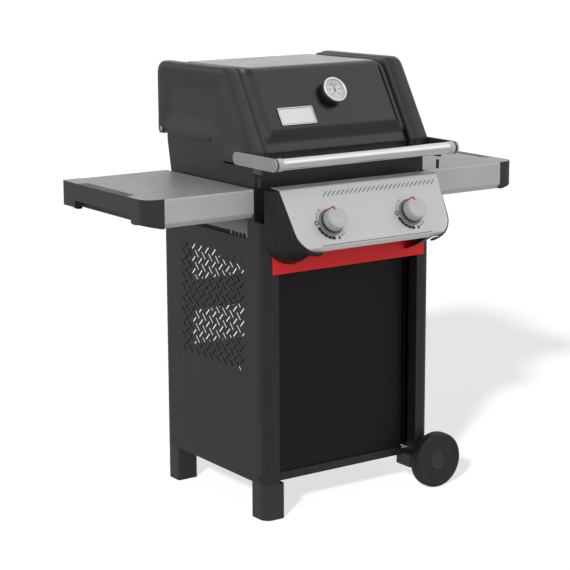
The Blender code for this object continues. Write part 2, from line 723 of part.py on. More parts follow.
def make_gas_train(mats):
    """Manifold, two valves and their stems, behind the control panel."""
    seat = -0.052           # depth of the valve body behind the face
    pipe_radius = 0.008
    pipe = face_point(0, KNOB_DOWN + 0.034, seat - 0.014)
    ends = KNOB_X + 0.070
    manifold = make_object("manifold", rod((-ends, pipe.y, pipe.z), (ends, pipe.y, pipe.z), pipe_radius, 16),
                           mats["galvanised"])
    join(manifold, rod((-ends - 0.012, pipe.y, pipe.z), (-ends + 0.004, pipe.y, pipe.z), 0.011, 6))
    inlet_start = -ends - 0.010
    join(manifold, rod((inlet_start, pipe.y, pipe.z), (inlet_start - 0.026, pipe.y, pipe.z), 0.007, 12))
    burner_front = COOKBOX_FRONT - 0.028
    for side, word in ((-1, "left"), (1, "right")):
        x = side * KNOB_X
        centre = face_point(x, KNOB_DOWN, seat)
        half = 0.010
        low = Vector((x - half, centre.y - 0.008, pipe.z + pipe_radius + GAP))
        high = Vector((x + half, centre.y + 0.014, BURNER_Z + 0.010))
        valve = make_object(f"valve_{word}", block(low, high), mats["brass"])
        join(valve, rod((x, high.y - 0.004, BURNER_Z), (x, burner_front - 0.001, BURNER_Z), 0.006, 12))
        neck_start = face_point(x, KNOB_DOWN, seat)
        neck_end = face_point(x, KNOB_DOWN, -0.020)
        join(valve, rod(neck_start, neck_end, 0.009, 16))
        cut(valve, rod(face_point(x, KNOB_DOWN, -0.040), face_point(x, KNOB_DOWN, 0), STEM_RADIUS + RUNNING, 16))


# ---------------------------------------------------------------- control panel
def face_outline():
    """The face seen square on, as (x, distance down): straight sides with big lower corners."""
    high = -FACE_RETURN - 0.02
    slope = (FACE_HALF_TOP - FACE_HALF_LOW) / FACE_LENGTH
    top_half = FACE_HALF_TOP - slope * high
    low = FACE_LENGTH + FACE_LIP
    corners = [(-top_half, high), (-FACE_HALF_LOW + slope * FACE_LIP, low),
               (FACE_HALF_LOW - slope * FACE_LIP, low), (top_half, high)]
    return fillet(corners, [0, FACE_CORNER, FACE_CORNER, 0], 8)


def make_control_panel(mats):
    """One sheet: a top return, the leaning face and a rolled lower lip."""
    top = Vector(FACE_TOP)
    low = top + Vector((FACE_DOWN.y, FACE_DOWN.z)) * FACE_LENGTH
    path = fillet([
        (top.x + FACE_RETURN, top.y + 0.006), (top.x + 0.002, top.y + 0.003),
        (low.x, low.y), (low.x + 0.003, low.y - FACE_LIP), (low.x + 0.018, low.y - FACE_LIP - 0.002),
    ], [0, 0.008, 0.006, 0.004, 0], 4, closed=False)
    half = FACE_HALF_TOP + 0.01
    panel = make_object("control_panel", prism(strip(path, FACE_SHEET), "X", -half, half),
                        mats["silver_paint"])
    outline = face_outline()
    front = [face_point(x, d, 0.05) for x, d in outline]
    back = [face_point(x, d, -0.10) for x, d in outline]
    combine(panel, loft([back, front]), "INTERSECT")
    for x in (-KNOB_X, KNOB_X):
        cut(panel, rod(face_point(x, KNOB_DOWN, -0.02), face_point(x, KNOB_DOWN, 0.02), STEM_HOLE, 16))


def shroud_curves(side):
    """Edge of the face and matching line on the front of the cart, from the top down."""
    slope = (FACE_HALF_TOP - FACE_HALF_LOW) / FACE_LENGTH
    corner = fillet([(FACE_HALF_TOP, 0), (FACE_HALF_LOW, FACE_LENGTH), (SHROUD_TIP_HALF, FACE_LENGTH)],
                    [0, FACE_CORNER - 0.004, 0], 7, closed=False)
    edge = [(FACE_HALF_TOP - slope * d, d) for d in (0.0, 0.035, 0.070)] + corner[1:]
    near = [face_point(side * x, d, -0.003) for x, d in edge]
    count = len(edge)
    shroud_back = FRONT - CROSSBAR_SHEET - 2 * GAP
    top = FACE_TOP[1] - 0.0035
    wall_z = [top, top - 0.060, top - 0.115]
    far = [Vector((side * HALF_WIDTH, shroud_back, z)) for z in wall_z]
    turn = count - 3
    for k in range(turn):
        t = (k + 1) / turn
        angle = math.pi / 2 * t
        x = SHROUD_TIP_HALF + (HALF_WIDTH - SHROUD_TIP_HALF) * math.cos(angle)
        z = SHROUD_LOW + (wall_z[-1] - SHROUD_LOW) * (1 - math.sin(angle))
        far.append(Vector((side * x, shroud_back, z)))
    return near, far


def make_shrouds(mats):
    """Moulded end pieces that close the sides of the control panel back to the posts."""
    for side, word in ((-1, "left"), (1, "right")):
        near, far = shroud_curves(side)
        middle = face_point(side * (SHROUD_TIP_HALF - 0.05), FACE_LENGTH * 0.4, -0.03)
        layers = []
        for t in (0.0, 0.33, 0.67, 1.0):
            outer = []
            for a, b in zip(near, far):
                point = a.lerp(b, t)
                away = (point - middle)
                away.y = 0
                bulge = 0.006 * math.sin(math.pi * t)
                outer.append(point + away.normalized() * bulge)
            layers.append(outer)
        bm = bmesh.new()
        grids = []
        for inward in (0.0, SHROUD_WALL):
            rows = []
            for outer in layers:
                row = []
                for point in outer:
                    away = point - middle
                    away.y = 0
                    row.append(bm.verts.new(point - away.normalized() * inward))
                rows.append(row)
            grids.append(rows)
        rows_count, row_length = len(layers), len(near)
        for rows in grids:
            for i in range(rows_count - 1):
                for j in range(row_length - 1):
                    bm.faces.new((rows[i][j], rows[i][j + 1], rows[i + 1][j + 1], rows[i + 1][j]))
        outer, inner = grids
        for i in range(rows_count - 1):
            for j in (0, row_length - 1):
                bm.faces.new((outer[i][j], outer[i + 1][j], inner[i + 1][j], inner[i][j]))
        for j in range(row_length - 1):
            for i in (0, rows_count - 1):
                bm.faces.new((outer[i][j], outer[i][j + 1], inner[i][j + 1], inner[i][j]))
        make_object(f"shroud_{word}", bm, mats["black_plastic"])


def make_knobs(mats):
    """Bezel ring on the face, valve stem through it, knob on the stem."""
    for side, word in ((-1, "left"), (1, "right")):
        x = side * KNOB_X
        face = face_point(x, KNOB_DOWN, GAP)
        ring = [(STEM_HOLE + 0.003, 0), (BEZEL_RADIUS, 0), (BEZEL_RADIUS, BEZEL_DEPTH - 0.001),
                (BEZEL_RADIUS - 0.002, BEZEL_DEPTH), (STEM_HOLE + 0.003, BEZEL_DEPTH)]
        make_object(f"knob_bezel_{word}", aim(turned(ring, 32), face, FACE_OUT), mats["silver_plastic"])
        start = face_point(x, KNOB_DOWN, -0.036)
        knob_back = BEZEL_DEPTH + GAP + KNOB_OFF
        reach = knob_back + 0.018
        stem = turned([(0, 0), (STEM_RADIUS, 0), (STEM_RADIUS, reach + 0.036), (0, reach + 0.036)], 16)
        make_object(f"valve_stem_{word}", aim(stem, start, FACE_OUT), mats["brass"], start)
        socket = STEM_RADIUS + RUNNING
        depth = 0.018 + GAP
        profile = [
            (0, depth), (socket, depth), (socket, 0), (KNOB_RADIUS + 0.001, 0), (KNOB_RADIUS + 0.001, 0.003),
            (KNOB_RADIUS - 0.0005, 0.005), (KNOB_RADIUS - 0.0015, KNOB_LENGTH - 0.003),
            (KNOB_RADIUS - 0.0045, KNOB_LENGTH), (0, KNOB_LENGTH - 0.0005),
        ]
        base = face_point(x, KNOB_DOWN, knob_back)
        make_object(f"knob_{word}", aim(turned(profile, 32), base, FACE_OUT), mats["silver_plastic"], base)


# ---------------------------------------------------------------- side tables
def table_sheet_outline(out=0.0):
    """Plan of the sheet over a table's cap, with the notch where the cap comes through."""
    front, back = TABLE_FRONT + CAP_RIM - out, TABLE_BACK - CAP_RIM + out
    end = TABLE_END - CAP_RIM + out
    notch = TABLE_END - GRIP_DEPTH + out
    slant = 0.008
    corners = [
        (TABLE_OUTER - 0.010, front), (end, front), (end, GRIP_FRONT - slant + out), (notch, GRIP_FRONT + out),
        (notch, GRIP_BACK - out), (end, GRIP_BACK + slant - out), (end, back), (TABLE_OUTER - 0.010, back),
    ]
    radii = [0, CAP_CORNER - CAP_RIM, 0, 0.004, 0.004, 0, CAP_BACK_CORNER - CAP_RIM, 0]
    return fillet(corners, radii, 6)


def make_tables(mats):
    """A folded sheet whose top runs out over the plastic cap at the table's end."""
    skirt_low = TABLE_TOP - TABLE_SKIRT
    lip_low = skirt_low - TABLE_LIP
    path = fillet([
        (TABLE_FRONT + 0.022, lip_low), (TABLE_FRONT + 0.010, lip_low), (TABLE_FRONT, skirt_low),
        (TABLE_FRONT, TABLE_TOP), (TABLE_BACK, TABLE_TOP), (TABLE_BACK, skirt_low),
        (TABLE_BACK - 0.010, lip_low), (TABLE_BACK - 0.022, lip_low),
    ], [0, 0, 0.004, 0.005, 0.005, 0.004, 0, 0], 3, closed=False)
    for side, word in ((-1, "left"), (1, "right")):
        low, high = span(side * TABLE_INNER, side * TABLE_OUTER)
        table = make_object(f"table_top_{word}", prism(strip(path, -TABLE_SHEET), "X", low, high),
                            mats["silver_paint"])
        low, high = span(side * TABLE_INNER, side * (TABLE_INNER + TABLE_SHEET))
        join(table, prism(offset_path(path, -TABLE_SHEET / 2), "X", low, high))
        sheet_low = TABLE_TOP - TABLE_SHEET
        join(table, prism(mirrored(table_sheet_outline(), side), "Z", sheet_low, TABLE_TOP))

        near, far = TABLE_OUTER + GAP, TABLE_END
        plan = rounded_rectangle((near, TABLE_FRONT), (far, TABLE_BACK), [0, CAP_CORNER, CAP_BACK_CORNER, 0], 6)
        cap = make_object(f"table_cap_{word}", prism(mirrored(plan, side), "Z", lip_low, TABLE_TOP),
                          mats["black_plastic"])
        pocket = rounded_rectangle((near + CAP_WALL, TABLE_FRONT + CAP_WALL), (far - CAP_WALL, TABLE_BACK - CAP_WALL),
                                   [0, CAP_CORNER - CAP_WALL, CAP_BACK_CORNER - CAP_WALL, 0], 6)
        cut(cap, prism(mirrored(pocket, side), "Z", lip_low - 0.01, sheet_low - GAP - CAP_WALL))
        cut(cap, prism(mirrored(table_sheet_outline(GAP), side), "Z", sheet_low - GAP, TABLE_TOP + 0.01))
        wedge = [(side * (near + 0.004), lip_low - 0.001), (side * (far + 0.010), lip_low - 0.001),
                 (side * (far + 0.010), lip_low + CAP_RISE)]
        cut(cap, prism(wedge, "Y", TABLE_FRONT - 0.01, TABLE_BACK + 0.01))
        notch_low, notch_high = span(side * (near + CAP_WALL + 0.004), side * (far + 0.01))
        cut(cap, block((notch_low, TABLE_FRONT + CAP_CORNER_BLOCK, lip_low - 0.02),
                       (notch_high, TABLE_BACK - CAP_CORNER_BLOCK, TABLE_TOP - CAP_END_HEIGHT)))


# ---------------------------------------------------------------- lid, handle, thermometer
def lid_path(out=0.0):
    """Side view of the lid from its back edge over the top to its front edge, moved outwards."""
    path = fillet([
        (LID_BACK, HINGE_Z - 0.006), (LID_BACK, LID_TOP - 0.004), (LID_FRONT_TOP, LID_TOP),
        (LID_FRONT_LOW, LID_LOW), (LID_FRONT_LOW, LID_SIDE_FRONT_LOW),
    ], [0, LID_BACK_CORNER, LID_FRONT_CORNER, 0.010, 0], 5, closed=False)
    return offset_path(path, -out) if out else path


def make_lid(mats):
    path = lid_path()
    shell = make_object("lid_shell", prism(strip(path, LID_WALL), "X", -LID_SHELL_HALF + GAP, LID_SHELL_HALF - GAP),
                        mats["lid_enamel"], (0, HINGE_Y, HINGE_Z))
    outer = lid_path(LID_BAND)
    ends = [
        (STEP_Y - 0.018, LID_SIDE_FRONT_LOW), (STEP_Y + 0.032, LID_SIDE_LOW), (HINGE_Y - 0.016, LID_SIDE_LOW),
        (HINGE_Y - 0.004, HINGE_Z - 0.012), (outer[0][0], HINGE_Z - 0.012),
    ]
    crest = 0.012           # the rounded outer edge of each cap
    for side, word in ((-1, "left"), (1, "right")):
        full = list(outer) + ends
        inset = lid_path(LID_BAND - crest) + ends
        inset[-1] = (inset[0][0], HINGE_Z - 0.012)
        halves = [(LID_SHELL_HALF, full), (LID_HALF - crest, full), (LID_HALF - 0.0035, lid_mix(full, inset, 0.35)),
                  (LID_HALF, inset)]
        sections = [[(side * x, y, z) for y, z in outline] for x, outline in halves]
        cap = make_object(f"lid_end_cap_{word}", loft(sections), mats["cast_aluminium"], (0, HINGE_Y, HINGE_Z))
        hollow = lid_path(-LID_WALL)
        low_front = (hollow[-1][0], 0.90)
        low_back = (hollow[0][0], 0.90)
        a, b = span(side * (LID_SHELL_HALF - 0.02), side * (LID_HALF - LID_WALL))
        cut(cap, prism(list(hollow) + [low_front, low_back], "X", a, b))
        cut(cap, rod((side * (LID_HALF - 0.03), HINGE_Y, HINGE_Z), (side * (LID_HALF + 0.01), HINGE_Y, HINGE_Z),
                     HINGE_PIN_RADIUS + RUNNING, 16))


def lid_mix(first, second, t):
    return [(a[0] + (b[0] - a[0]) * t, a[1] + (b[1] - a[1]) * t) for a, b in zip(first, second)]


def make_handle(mats):
    pivot = (0, HINGE_Y, HINGE_Z)
    arm_in = LID_HALF + GAP
    arm_out = arm_in + ARM_THICKNESS
    tube_end = arm_in - GAP
    wall = 0.0015
    collar = tube_end - COLLAR_WIDTH
    profile = [
        (HANDLE_RADIUS - wall, -tube_end), (COLLAR_RADIUS, -tube_end), (COLLAR_RADIUS, -collar),
        (HANDLE_RADIUS, -collar), (HANDLE_RADIUS, collar), (COLLAR_RADIUS, collar),
        (COLLAR_RADIUS, tube_end), (HANDLE_RADIUS - wall, tube_end),
    ]
    tube = aim(turned(profile, 28), (0, HANDLE_Y, HANDLE_Z), (1, 0, 0))
    make_object("handle_tube", tube, mats["stainless"], pivot)
    half = ARM_HEIGHT / 2
    for side, word in ((-1, "left"), (1, "right")):
        low, high = span(side * arm_in, side * arm_out)
        stadium = (arc((HANDLE_Y, HANDLE_Z), half, 90, 270, 10)
                   + arc((ARM_BACK - half, HANDLE_Z), half, -90, 90, 10))
        arm = make_object(f"handle_arm_{word}", prism(stadium, "X", low, high), mats["silver_plastic"], pivot)
        top = HANDLE_Z - half + 0.002
        low, high = span(side * (arm_out - 0.001 - BUMPER_WIDTH), side * (arm_out - 0.001))
        join(arm, block((low, BUMPER_Y - 0.017, top - 0.016), (high, BUMPER_Y + 0.017, top)))
        x, y = (low + high) / 2, BUMPER_Y - 0.006
        join(arm, rod((x, y, top - 0.012), (x, y, FACE_TOP[1] + 0.008), BUMPER_PIN, 12))


def make_thermometer(mats):
    pivot = (0, HINGE_Y, HINGE_Z)
    face = lid_front_point(DIAL_X, DIAL_Z, GAP)
    base = DIAL_DEPTH
    body = [
        (0, 0), (DIAL_RADIUS, 0), (DIAL_RADIUS - 0.0015, base), (DIAL_RADIUS, base),
        (DIAL_RADIUS, base + 0.004), (DIAL_RADIUS - 0.0025, base + 0.0065),
        (DIAL_RADIUS - 0.0055, base + 0.006), (DIAL_RADIUS - 0.006, base + 0.001), (0, base + 0.001),
    ]
    make_object("thermometer", aim(turned(body, 28), face, LID_OUT), mats["stainless"], pivot)
    up = LID_OUT.cross(Vector((1, 0, 0))).normalized()
    up = up if up.z > 0 else -up
    centre = lid_front_point(DIAL_X, DIAL_Z, base + 0.001 + 2 * GAP)
    right = Vector((1, 0, 0))
    outline = [(-0.0008, -0.008), (0.0008, -0.008), (0.0012, 0.0), (0.0003, 0.022), (-0.0003, 0.022), (-0.0012, 0.0)]
    rings = [[centre + right * u + up * v + LID_OUT * h for u, v in outline] for h in (0.0, 0.0008)]
    make_object("thermometer_needle", loft(rings), mats["needle_red"], centre)


def make_badge(mats):
    """A blank plate on the lid's front."""
    up = (lid_front_point(0, LID_TOP) - lid_front_point(0, LID_LOW)).normalized()
    centre = lid_front_point(BADGE_X, BADGE_Z, GAP)
    wide, tall = BADGE_SIZE
    plan = rounded_rectangle((-wide / 2, -tall / 2), (wide / 2, tall / 2), 0.003, 3)
    rings = [[centre + Vector((u, 0, 0)) + up * v + LID_OUT * h for u, v in plan] for h in (0.0, BADGE_THICKNESS)]
    make_object("badge_plate", loft(rings), mats["stainless"], (0, HINGE_Y, HINGE_Z))


# ---------------------------------------------------------------- heat shield and grease tray
def make_heat_shield(mats):
    """A channel under the cookbox, open along its middle, seen through the side notches."""
    reach = HALF_WIDTH - POST_FACE - 0.008
    low, high = TRAY_TOP + 0.004, COOKBOX_LOW - GAP
    front, back = FRONT + POST_SIDE_FRONT + 0.004, BACK - POST_SIDE_BACK - 0.004
    thick = 0.0012
    shield = make_object("heat_shield", block((-reach, front, low), (reach, front + 0.030, low + thick)),
                         mats["galvanised"])
    wing = HALF_WIDTH - 0.004
    for side in (-1, 1):
        path = [(side * (wing - 0.055), low), (side * wing, low), (side * wing, low + 0.010),
                (side * (wing - 0.012), high)]
        join(shield, prism(strip(path, side * thick), "Y", front + 0.0005, back))


def make_grease_tray(mats):
    """A deep pan that narrows downwards, with a lip that slides on the heat shields' feet."""
    pivot = (0, 0, TRAY_LOW)

    def ring(half, inset, z):
        return [(-half, TRAY_FRONT + inset, z), (half, TRAY_FRONT + inset, z),
                (half, TRAY_BACK - inset, z), (-half, TRAY_BACK - inset, z)]

    slope = (TRAY_HALF_TOP - TRAY_HALF_LOW) / (TRAY_TOP - TRAY_LOW)
    outer = [ring(TRAY_HALF_LOW, 0.040, TRAY_LOW), ring(TRAY_HALF_TOP, 0.0, TRAY_TOP)]
    tray = make_object("grease_tray", loft(outer), mats["galvanised"], pivot)
    floor = TRAY_LOW + TRAY_WALL
    over = 0.01
    hollow = [
        ring(TRAY_HALF_LOW - TRAY_WALL + slope * TRAY_WALL, 0.040 + TRAY_WALL, floor),
        ring(TRAY_HALF_TOP - TRAY_WALL + slope * over, TRAY_WALL - over * 0.36, TRAY_TOP + over),
    ]
    cut(tray, loft(hollow))
    half_x, half_y = 0.085, 0.060
    low, high = floor + GAP, floor + 0.030
    outline = rounded_rectangle((-half_x, -half_y), (half_x, half_y), 0.012, 3)
    inner = offset_path(outline, 0.0015, closed=True)
    drip = make_object("drip_pan", prism(outline, "Z", low, high), mats["galvanised"], pivot)
    cut(drip, prism(inner, "Z", low + 0.0015, high + 0.01))


# ---------------------------------------------------------------- the whole grill
def hang_from_root():
    """One empty carries every piece, so that the bounding box stands centred on the origin."""
    knob_end = BEZEL_DEPTH + GAP + KNOB_OFF + KNOB_LENGTH
    edge = face_point(0, KNOB_DOWN + KNOB_RADIUS - 0.0045, knob_end)
    shoulder = face_point(0, KNOB_DOWN + KNOB_RADIUS - 0.0015, knob_end - 0.003)
    front_most = min(edge.y, shoulder.y)
    back_most = BACK + WHEEL_CLEARANCE + WHEEL_WIDTH
    root = bpy.data.objects.new("grill_root", None)
    bpy.context.scene.collection.objects.link(root)
    root.location = (0, -(front_most + back_most) / 2, 0)
    for obj in bpy.context.scene.objects:
        if obj is not root and obj.parent is None:
            obj.parent = root


def main():
    clear_scene()
    mats = make_materials()
    make_posts(mats)
    make_feet(mats)
    make_axle_and_wheels(mats)
    make_side_panels(mats)
    make_cart_members(mats)
    make_cookbox(mats)
    make_hinge_pins(mats)
    make_cooking_pieces(mats)
    make_burners(mats)
    make_gas_train(mats)
    make_control_panel(mats)
    make_shrouds(mats)
    make_knobs(mats)
    make_tables(mats)
    make_lid(mats)
    make_handle(mats)
    make_thermometer(mats)
    make_badge(mats)
    make_heat_shield(mats)
    make_grease_tray(mats)
    hang_from_root()


main()
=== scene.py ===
# %% [markdown]
# # A two-burner gas barbecue, from bare frame to finished look
# The moving frame of the barbecue is already built as 60 separate solids. This lesson gives it
# its surface: pressed edges, punched slots, printed marks, and one finish for each material.
# Lengths are in metres unless a name says mm.

# %% Load the frame
import math
import bmesh
import bpy
from mathutils import Matrix, Vector
from mathutils.geometry import delaunay_2d_cdt


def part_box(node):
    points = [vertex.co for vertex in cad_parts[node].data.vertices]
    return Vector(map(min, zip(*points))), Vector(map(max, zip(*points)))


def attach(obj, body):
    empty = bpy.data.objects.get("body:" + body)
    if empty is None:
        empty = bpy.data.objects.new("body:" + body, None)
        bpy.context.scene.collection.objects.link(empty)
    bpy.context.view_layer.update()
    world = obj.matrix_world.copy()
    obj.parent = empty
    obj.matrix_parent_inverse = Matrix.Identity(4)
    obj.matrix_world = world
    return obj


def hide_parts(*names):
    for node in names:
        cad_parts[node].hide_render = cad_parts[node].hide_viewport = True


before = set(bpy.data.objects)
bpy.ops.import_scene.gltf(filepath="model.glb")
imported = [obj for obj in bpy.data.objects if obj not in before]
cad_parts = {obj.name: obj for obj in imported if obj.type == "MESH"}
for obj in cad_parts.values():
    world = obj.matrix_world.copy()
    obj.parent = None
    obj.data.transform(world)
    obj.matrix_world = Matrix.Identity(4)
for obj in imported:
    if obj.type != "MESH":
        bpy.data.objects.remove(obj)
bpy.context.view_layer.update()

# %% [markdown]
# ## One set of axes
# It is easier to think of the cart from its own middle: X = 0 between the side panels, Y = 0
# midway between the front and back posts. The frame tells where that middle is, so every piece
# below is drawn around it and moved there at the end.

# %% Find the middle of the cart
front_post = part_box("post_front_left")
back_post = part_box("post_back_left")
CART_Y = (front_post[0].y + back_post[1].y) / 2
CART_HALF = -front_post[0].x
CART_FRONT = front_post[0].y - CART_Y
CART_BACK = back_post[1].y - CART_Y
SHIFT = Vector((0, CART_Y, 0))
SIDES = ((-1, "left"), (1, "right"))
X_AXIS = Vector((1, 0, 0))
print("cart middle at Y =", round(CART_Y, 4), "half width", round(CART_HALF, 4))


# %% [markdown]
# ## Tools for colour and nodes
# Paint makers give colours as sRGB hex values, while the renderer counts in linear light, so one
# function turns one into the other. A second small function adds a shader node, fills in its
# settings and plugs in its inputs.

# %% Colour and node tools
def linear(hex_colour):
    """An sRGB hex colour as linear red, green, blue and alpha."""
    channels = [int(hex_colour[i:i + 2], 16) / 255 for i in (1, 3, 5)]
    return (*[c / 12.92 if c <= 0.04045 else ((c + 0.055) / 1.055) ** 2.4 for c in channels], 1.0)


def add(tree, kind, inputs=(), **settings):
    """Adds one shader node; an input is either a number or another node's output."""
    node = tree.nodes.new("ShaderNode" + kind)
    for key, value in settings.items():
        setattr(node, key, value)
    for socket, value in dict(inputs).items():
        if isinstance(value, bpy.types.NodeSocket):
            tree.links.new(value, node.inputs[socket])
        else:
            node.inputs[socket].default_value = value
    return node


def per_metre(size_mm):
    """Noise scale for a pattern whose bumps are this many millimetres apart."""
    return 1000 / size_mm


# %% [markdown]
# ## A finish that isn't flat
# A real coating is never one colour. It has a grain (orange peel in paint, grit in moulded
# plastic), slow drifts in shade and gloss, and edges that are rubbed thin. One recipe makes all of
# these from two noises and the rounded-edge normal, and each material sets its own sizes. A
# silver paint can also get painted shade: its faces that look up are made darker, in flecks.

# %% The general recipe
EDGE_ROUND = 0.0010


def make_finish(name, hex_colour, roughness, metallic=0.0, grain_mm=1.5, grain_deep_mm=0.02, drift=0.12,
                gloss_spread=0.05, worn_hex=None, wear=0.35, coat=0.0, coat_roughness=0.1, ior=1.5,
                stretch=(1, 1, 1), edge=EDGE_ROUND, anisotropic=0.0, painted_top_shade=None):
    material = bpy.data.materials.new(name)
    material.use_nodes = True
    tree = material.node_tree
    shader = tree.nodes["Principled BSDF"]
    place = add(tree, "TexCoord").outputs["Object"]
    stretched = add(tree, "VectorMath", {0: place, 1: stretch}, operation="MULTIPLY").outputs[0]
    grain = add(tree, "TexNoise", {"Vector": stretched, "Scale": per_metre(grain_mm), "Detail": 3.0})
    cloud = add(tree, "TexNoise", {"Vector": place, "Scale": per_metre(90), "Detail": 2.0})
    base = linear(hex_colour)
    dark = [c * (1 - drift) for c in base[:3]] + [1]
    light = [c * (1 + drift) for c in base[:3]] + [1]
    speck = add(tree, "Math", {0: cloud.outputs["Fac"], 1: grain.outputs["Fac"]}, operation="ADD")
    shade = add(tree, "MapRange", {"Value": speck.outputs[0], "From Min": 0.7, "From Max": 1.3})
    tone = add(tree, "Mix", {"Factor": shade.outputs["Result"], "A": dark, "B": light}, data_type="RGBA")
    gloss = add(tree, "MapRange", {"Value": cloud.outputs["Fac"], "From Min": 0.3, "From Max": 0.7,
                                   "To Min": roughness - gloss_spread, "To Max": roughness + gloss_spread})
    rounded = add(tree, "Bevel", {"Radius": edge}, samples=4)
    flat = add(tree, "NewGeometry")
    bend = add(tree, "VectorMath", {0: rounded.outputs[0], 1: flat.outputs["Normal"]}, operation="DOT_PRODUCT")
    rim = add(tree, "MapRange", {"Value": bend.outputs["Value"], "From Min": 0.995, "From Max": 0.90,
                                 "To Min": 0.0, "To Max": wear})
    patchy = add(tree, "Math", {0: rim.outputs["Result"], 1: grain.outputs["Fac"]}, operation="MULTIPLY")
    worn = linear(worn_hex) if worn_hex else [min(1, c * 1.6 + 0.01) for c in base[:3]] + [1]
    colour = add(tree, "Mix", {"Factor": patchy.outputs[0], "A": tone.outputs["Result"], "B": worn},
                 data_type="RGBA")
    bump = add(tree, "Bump", {"Height": grain.outputs["Fac"], "Distance": grain_deep_mm / 1000,
                              "Strength": 1.0, "Normal": rounded.outputs[0]})
    # Painted shade: faces that look up are made darker, in flecks, by the given factor.
    if painted_top_shade:
        upward = add(tree, "SeparateXYZ", {0: flat.outputs["Normal"]})
        level = add(tree, "MapRange", {"Value": upward.outputs["Z"], "From Min": 0.6, "From Max": 0.95})
        fleck = add(tree, "TexNoise", {"Vector": place, "Scale": per_metre(3.2), "Detail": 4.0})
        spots = add(tree, "MapRange", {"Value": fleck.outputs["Fac"], "From Min": 0.42, "From Max": 0.62,
                                       "To Min": painted_top_shade * 0.72, "To Max": painted_top_shade * 1.28})
        flecks_and_painted_top_shade = add(tree, "Mix", {"Factor": level.outputs["Result"], "A": 1.0, "B": spots.outputs["Result"]},
                       data_type="FLOAT")
        colour = add(tree, "Mix", {"Factor": 1.0, "A": colour.outputs["Result"], "B": flecks_and_painted_top_shade.outputs["Result"]},
                     data_type="RGBA", blend_type="MULTIPLY")
    tree.links.new(colour.outputs["Result"], shader.inputs["Base Color"])
    tree.links.new(gloss.outputs["Result"], shader.inputs["Roughness"])
    tree.links.new(bump.outputs["Normal"], shader.inputs["Normal"])
    shader.inputs["Metallic"].default_value = metallic
    if not metallic:
        shader.inputs["IOR"].default_value = ior
    shader.inputs["Coat Weight"].default_value = coat
    shader.inputs["Coat Roughness"].default_value = coat_roughness
    shader.inputs["Anisotropic"].default_value = anisotropic
    return material


# %% [markdown]
# ## The materials of this barbecue
# The lid's sheet is porcelain enamel: ground glass fused on steel at 800 degrees, so it is the
# glossiest black here. Its end pieces are painted cast aluminium, a little duller and softer. The
# cart is powder coated, an electrostatic dust baked to a satin skin with orange peel. The panel
# and tables carry silver paint with metal flake. Feet, wheels and table ends are glass-filled
# nylon with a spark-eroded grain.

# %% Painted and enamelled metals
ENAMEL = make_finish("porcelain_enamel_black", "#19191a", 0.24, grain_mm=5.0, grain_deep_mm=0.008, drift=0.05,
                     gloss_spread=0.03, coat=0.08, coat_roughness=0.12, wear=0.2)
CASTING = make_finish("black_paint_on_cast_aluminium", "#222223", 0.40, grain_mm=3.0, grain_deep_mm=0.03,
                      drift=0.08, gloss_spread=0.04, wear=0.25)
POWDER = make_finish("black_powder_coat", "#1e1e1f", 0.44, grain_mm=3.0, grain_deep_mm=0.035, drift=0.08,
                     gloss_spread=0.04, wear=0.3)
PANEL_SILVER = make_finish("smooth_silver_paint", "#cdcdcc", 0.42, metallic=0.25, grain_mm=3.5, grain_deep_mm=0.02,
                           drift=0.03, gloss_spread=0.03, wear=0.3, worn_hex="#e2e2e0", painted_top_shade=0.50)
TABLE_SILVER = make_finish("hammered_silver_paint", "#c6c6c5", 0.46, metallic=0.25, grain_mm=3.2, grain_deep_mm=0.05,
                           drift=0.03, gloss_spread=0.03, wear=0.3, worn_hex="#e2e2e0", painted_top_shade=0.62)
PANEL_BLACK = make_finish("smooth_black_powder_coat", "#121213", 0.50, grain_mm=2.5, grain_deep_mm=0.02, drift=0.06,
                          gloss_spread=0.03, wear=0.2, ior=1.33)
RED = make_finish("red_powder_coat", "#f51214", 0.45, grain_mm=3.0, grain_deep_mm=0.03, drift=0.06,
                  gloss_spread=0.04, wear=0.2, worn_hex="#d8474a")

# %% Bare and plated metals
POLISHED = make_finish("polished_stainless_steel", "#e0e0dd", 0.12, metallic=1.0, grain_mm=2.0,
                       grain_deep_mm=0.004, drift=0.04, gloss_spread=0.03, stretch=(0.04, 1, 1), wear=0.1,
                       anisotropic=0.4)
BRUSHED = make_finish("brushed_stainless_steel", "#c9c9c6", 0.30, metallic=1.0, grain_mm=1.6,
                      grain_deep_mm=0.006, drift=0.08, gloss_spread=0.05, stretch=(0.05, 1, 1), wear=0.2)
ALUMINISED = make_finish("aluminised_steel", "#9c9d9c", 0.48, metallic=0.85, grain_mm=7.0,
                         grain_deep_mm=0.02, drift=0.14, gloss_spread=0.08)
ZINC = make_finish("zinc_plated_steel", "#a9aaa8", 0.38, metallic=1.0, grain_mm=2.5, grain_deep_mm=0.02,
                   drift=0.12, gloss_spread=0.07)
BRASS = make_finish("machined_brass", "#b5924c", 0.32, metallic=1.0, grain_mm=1.2, grain_deep_mm=0.01,
                    drift=0.10, gloss_spread=0.06)
IRON = make_finish("enamelled_cast_iron", "#19191a", 0.42, grain_mm=2.5, grain_deep_mm=0.09, drift=0.15,
                   gloss_spread=0.08, coat=0.25, coat_roughness=0.25)

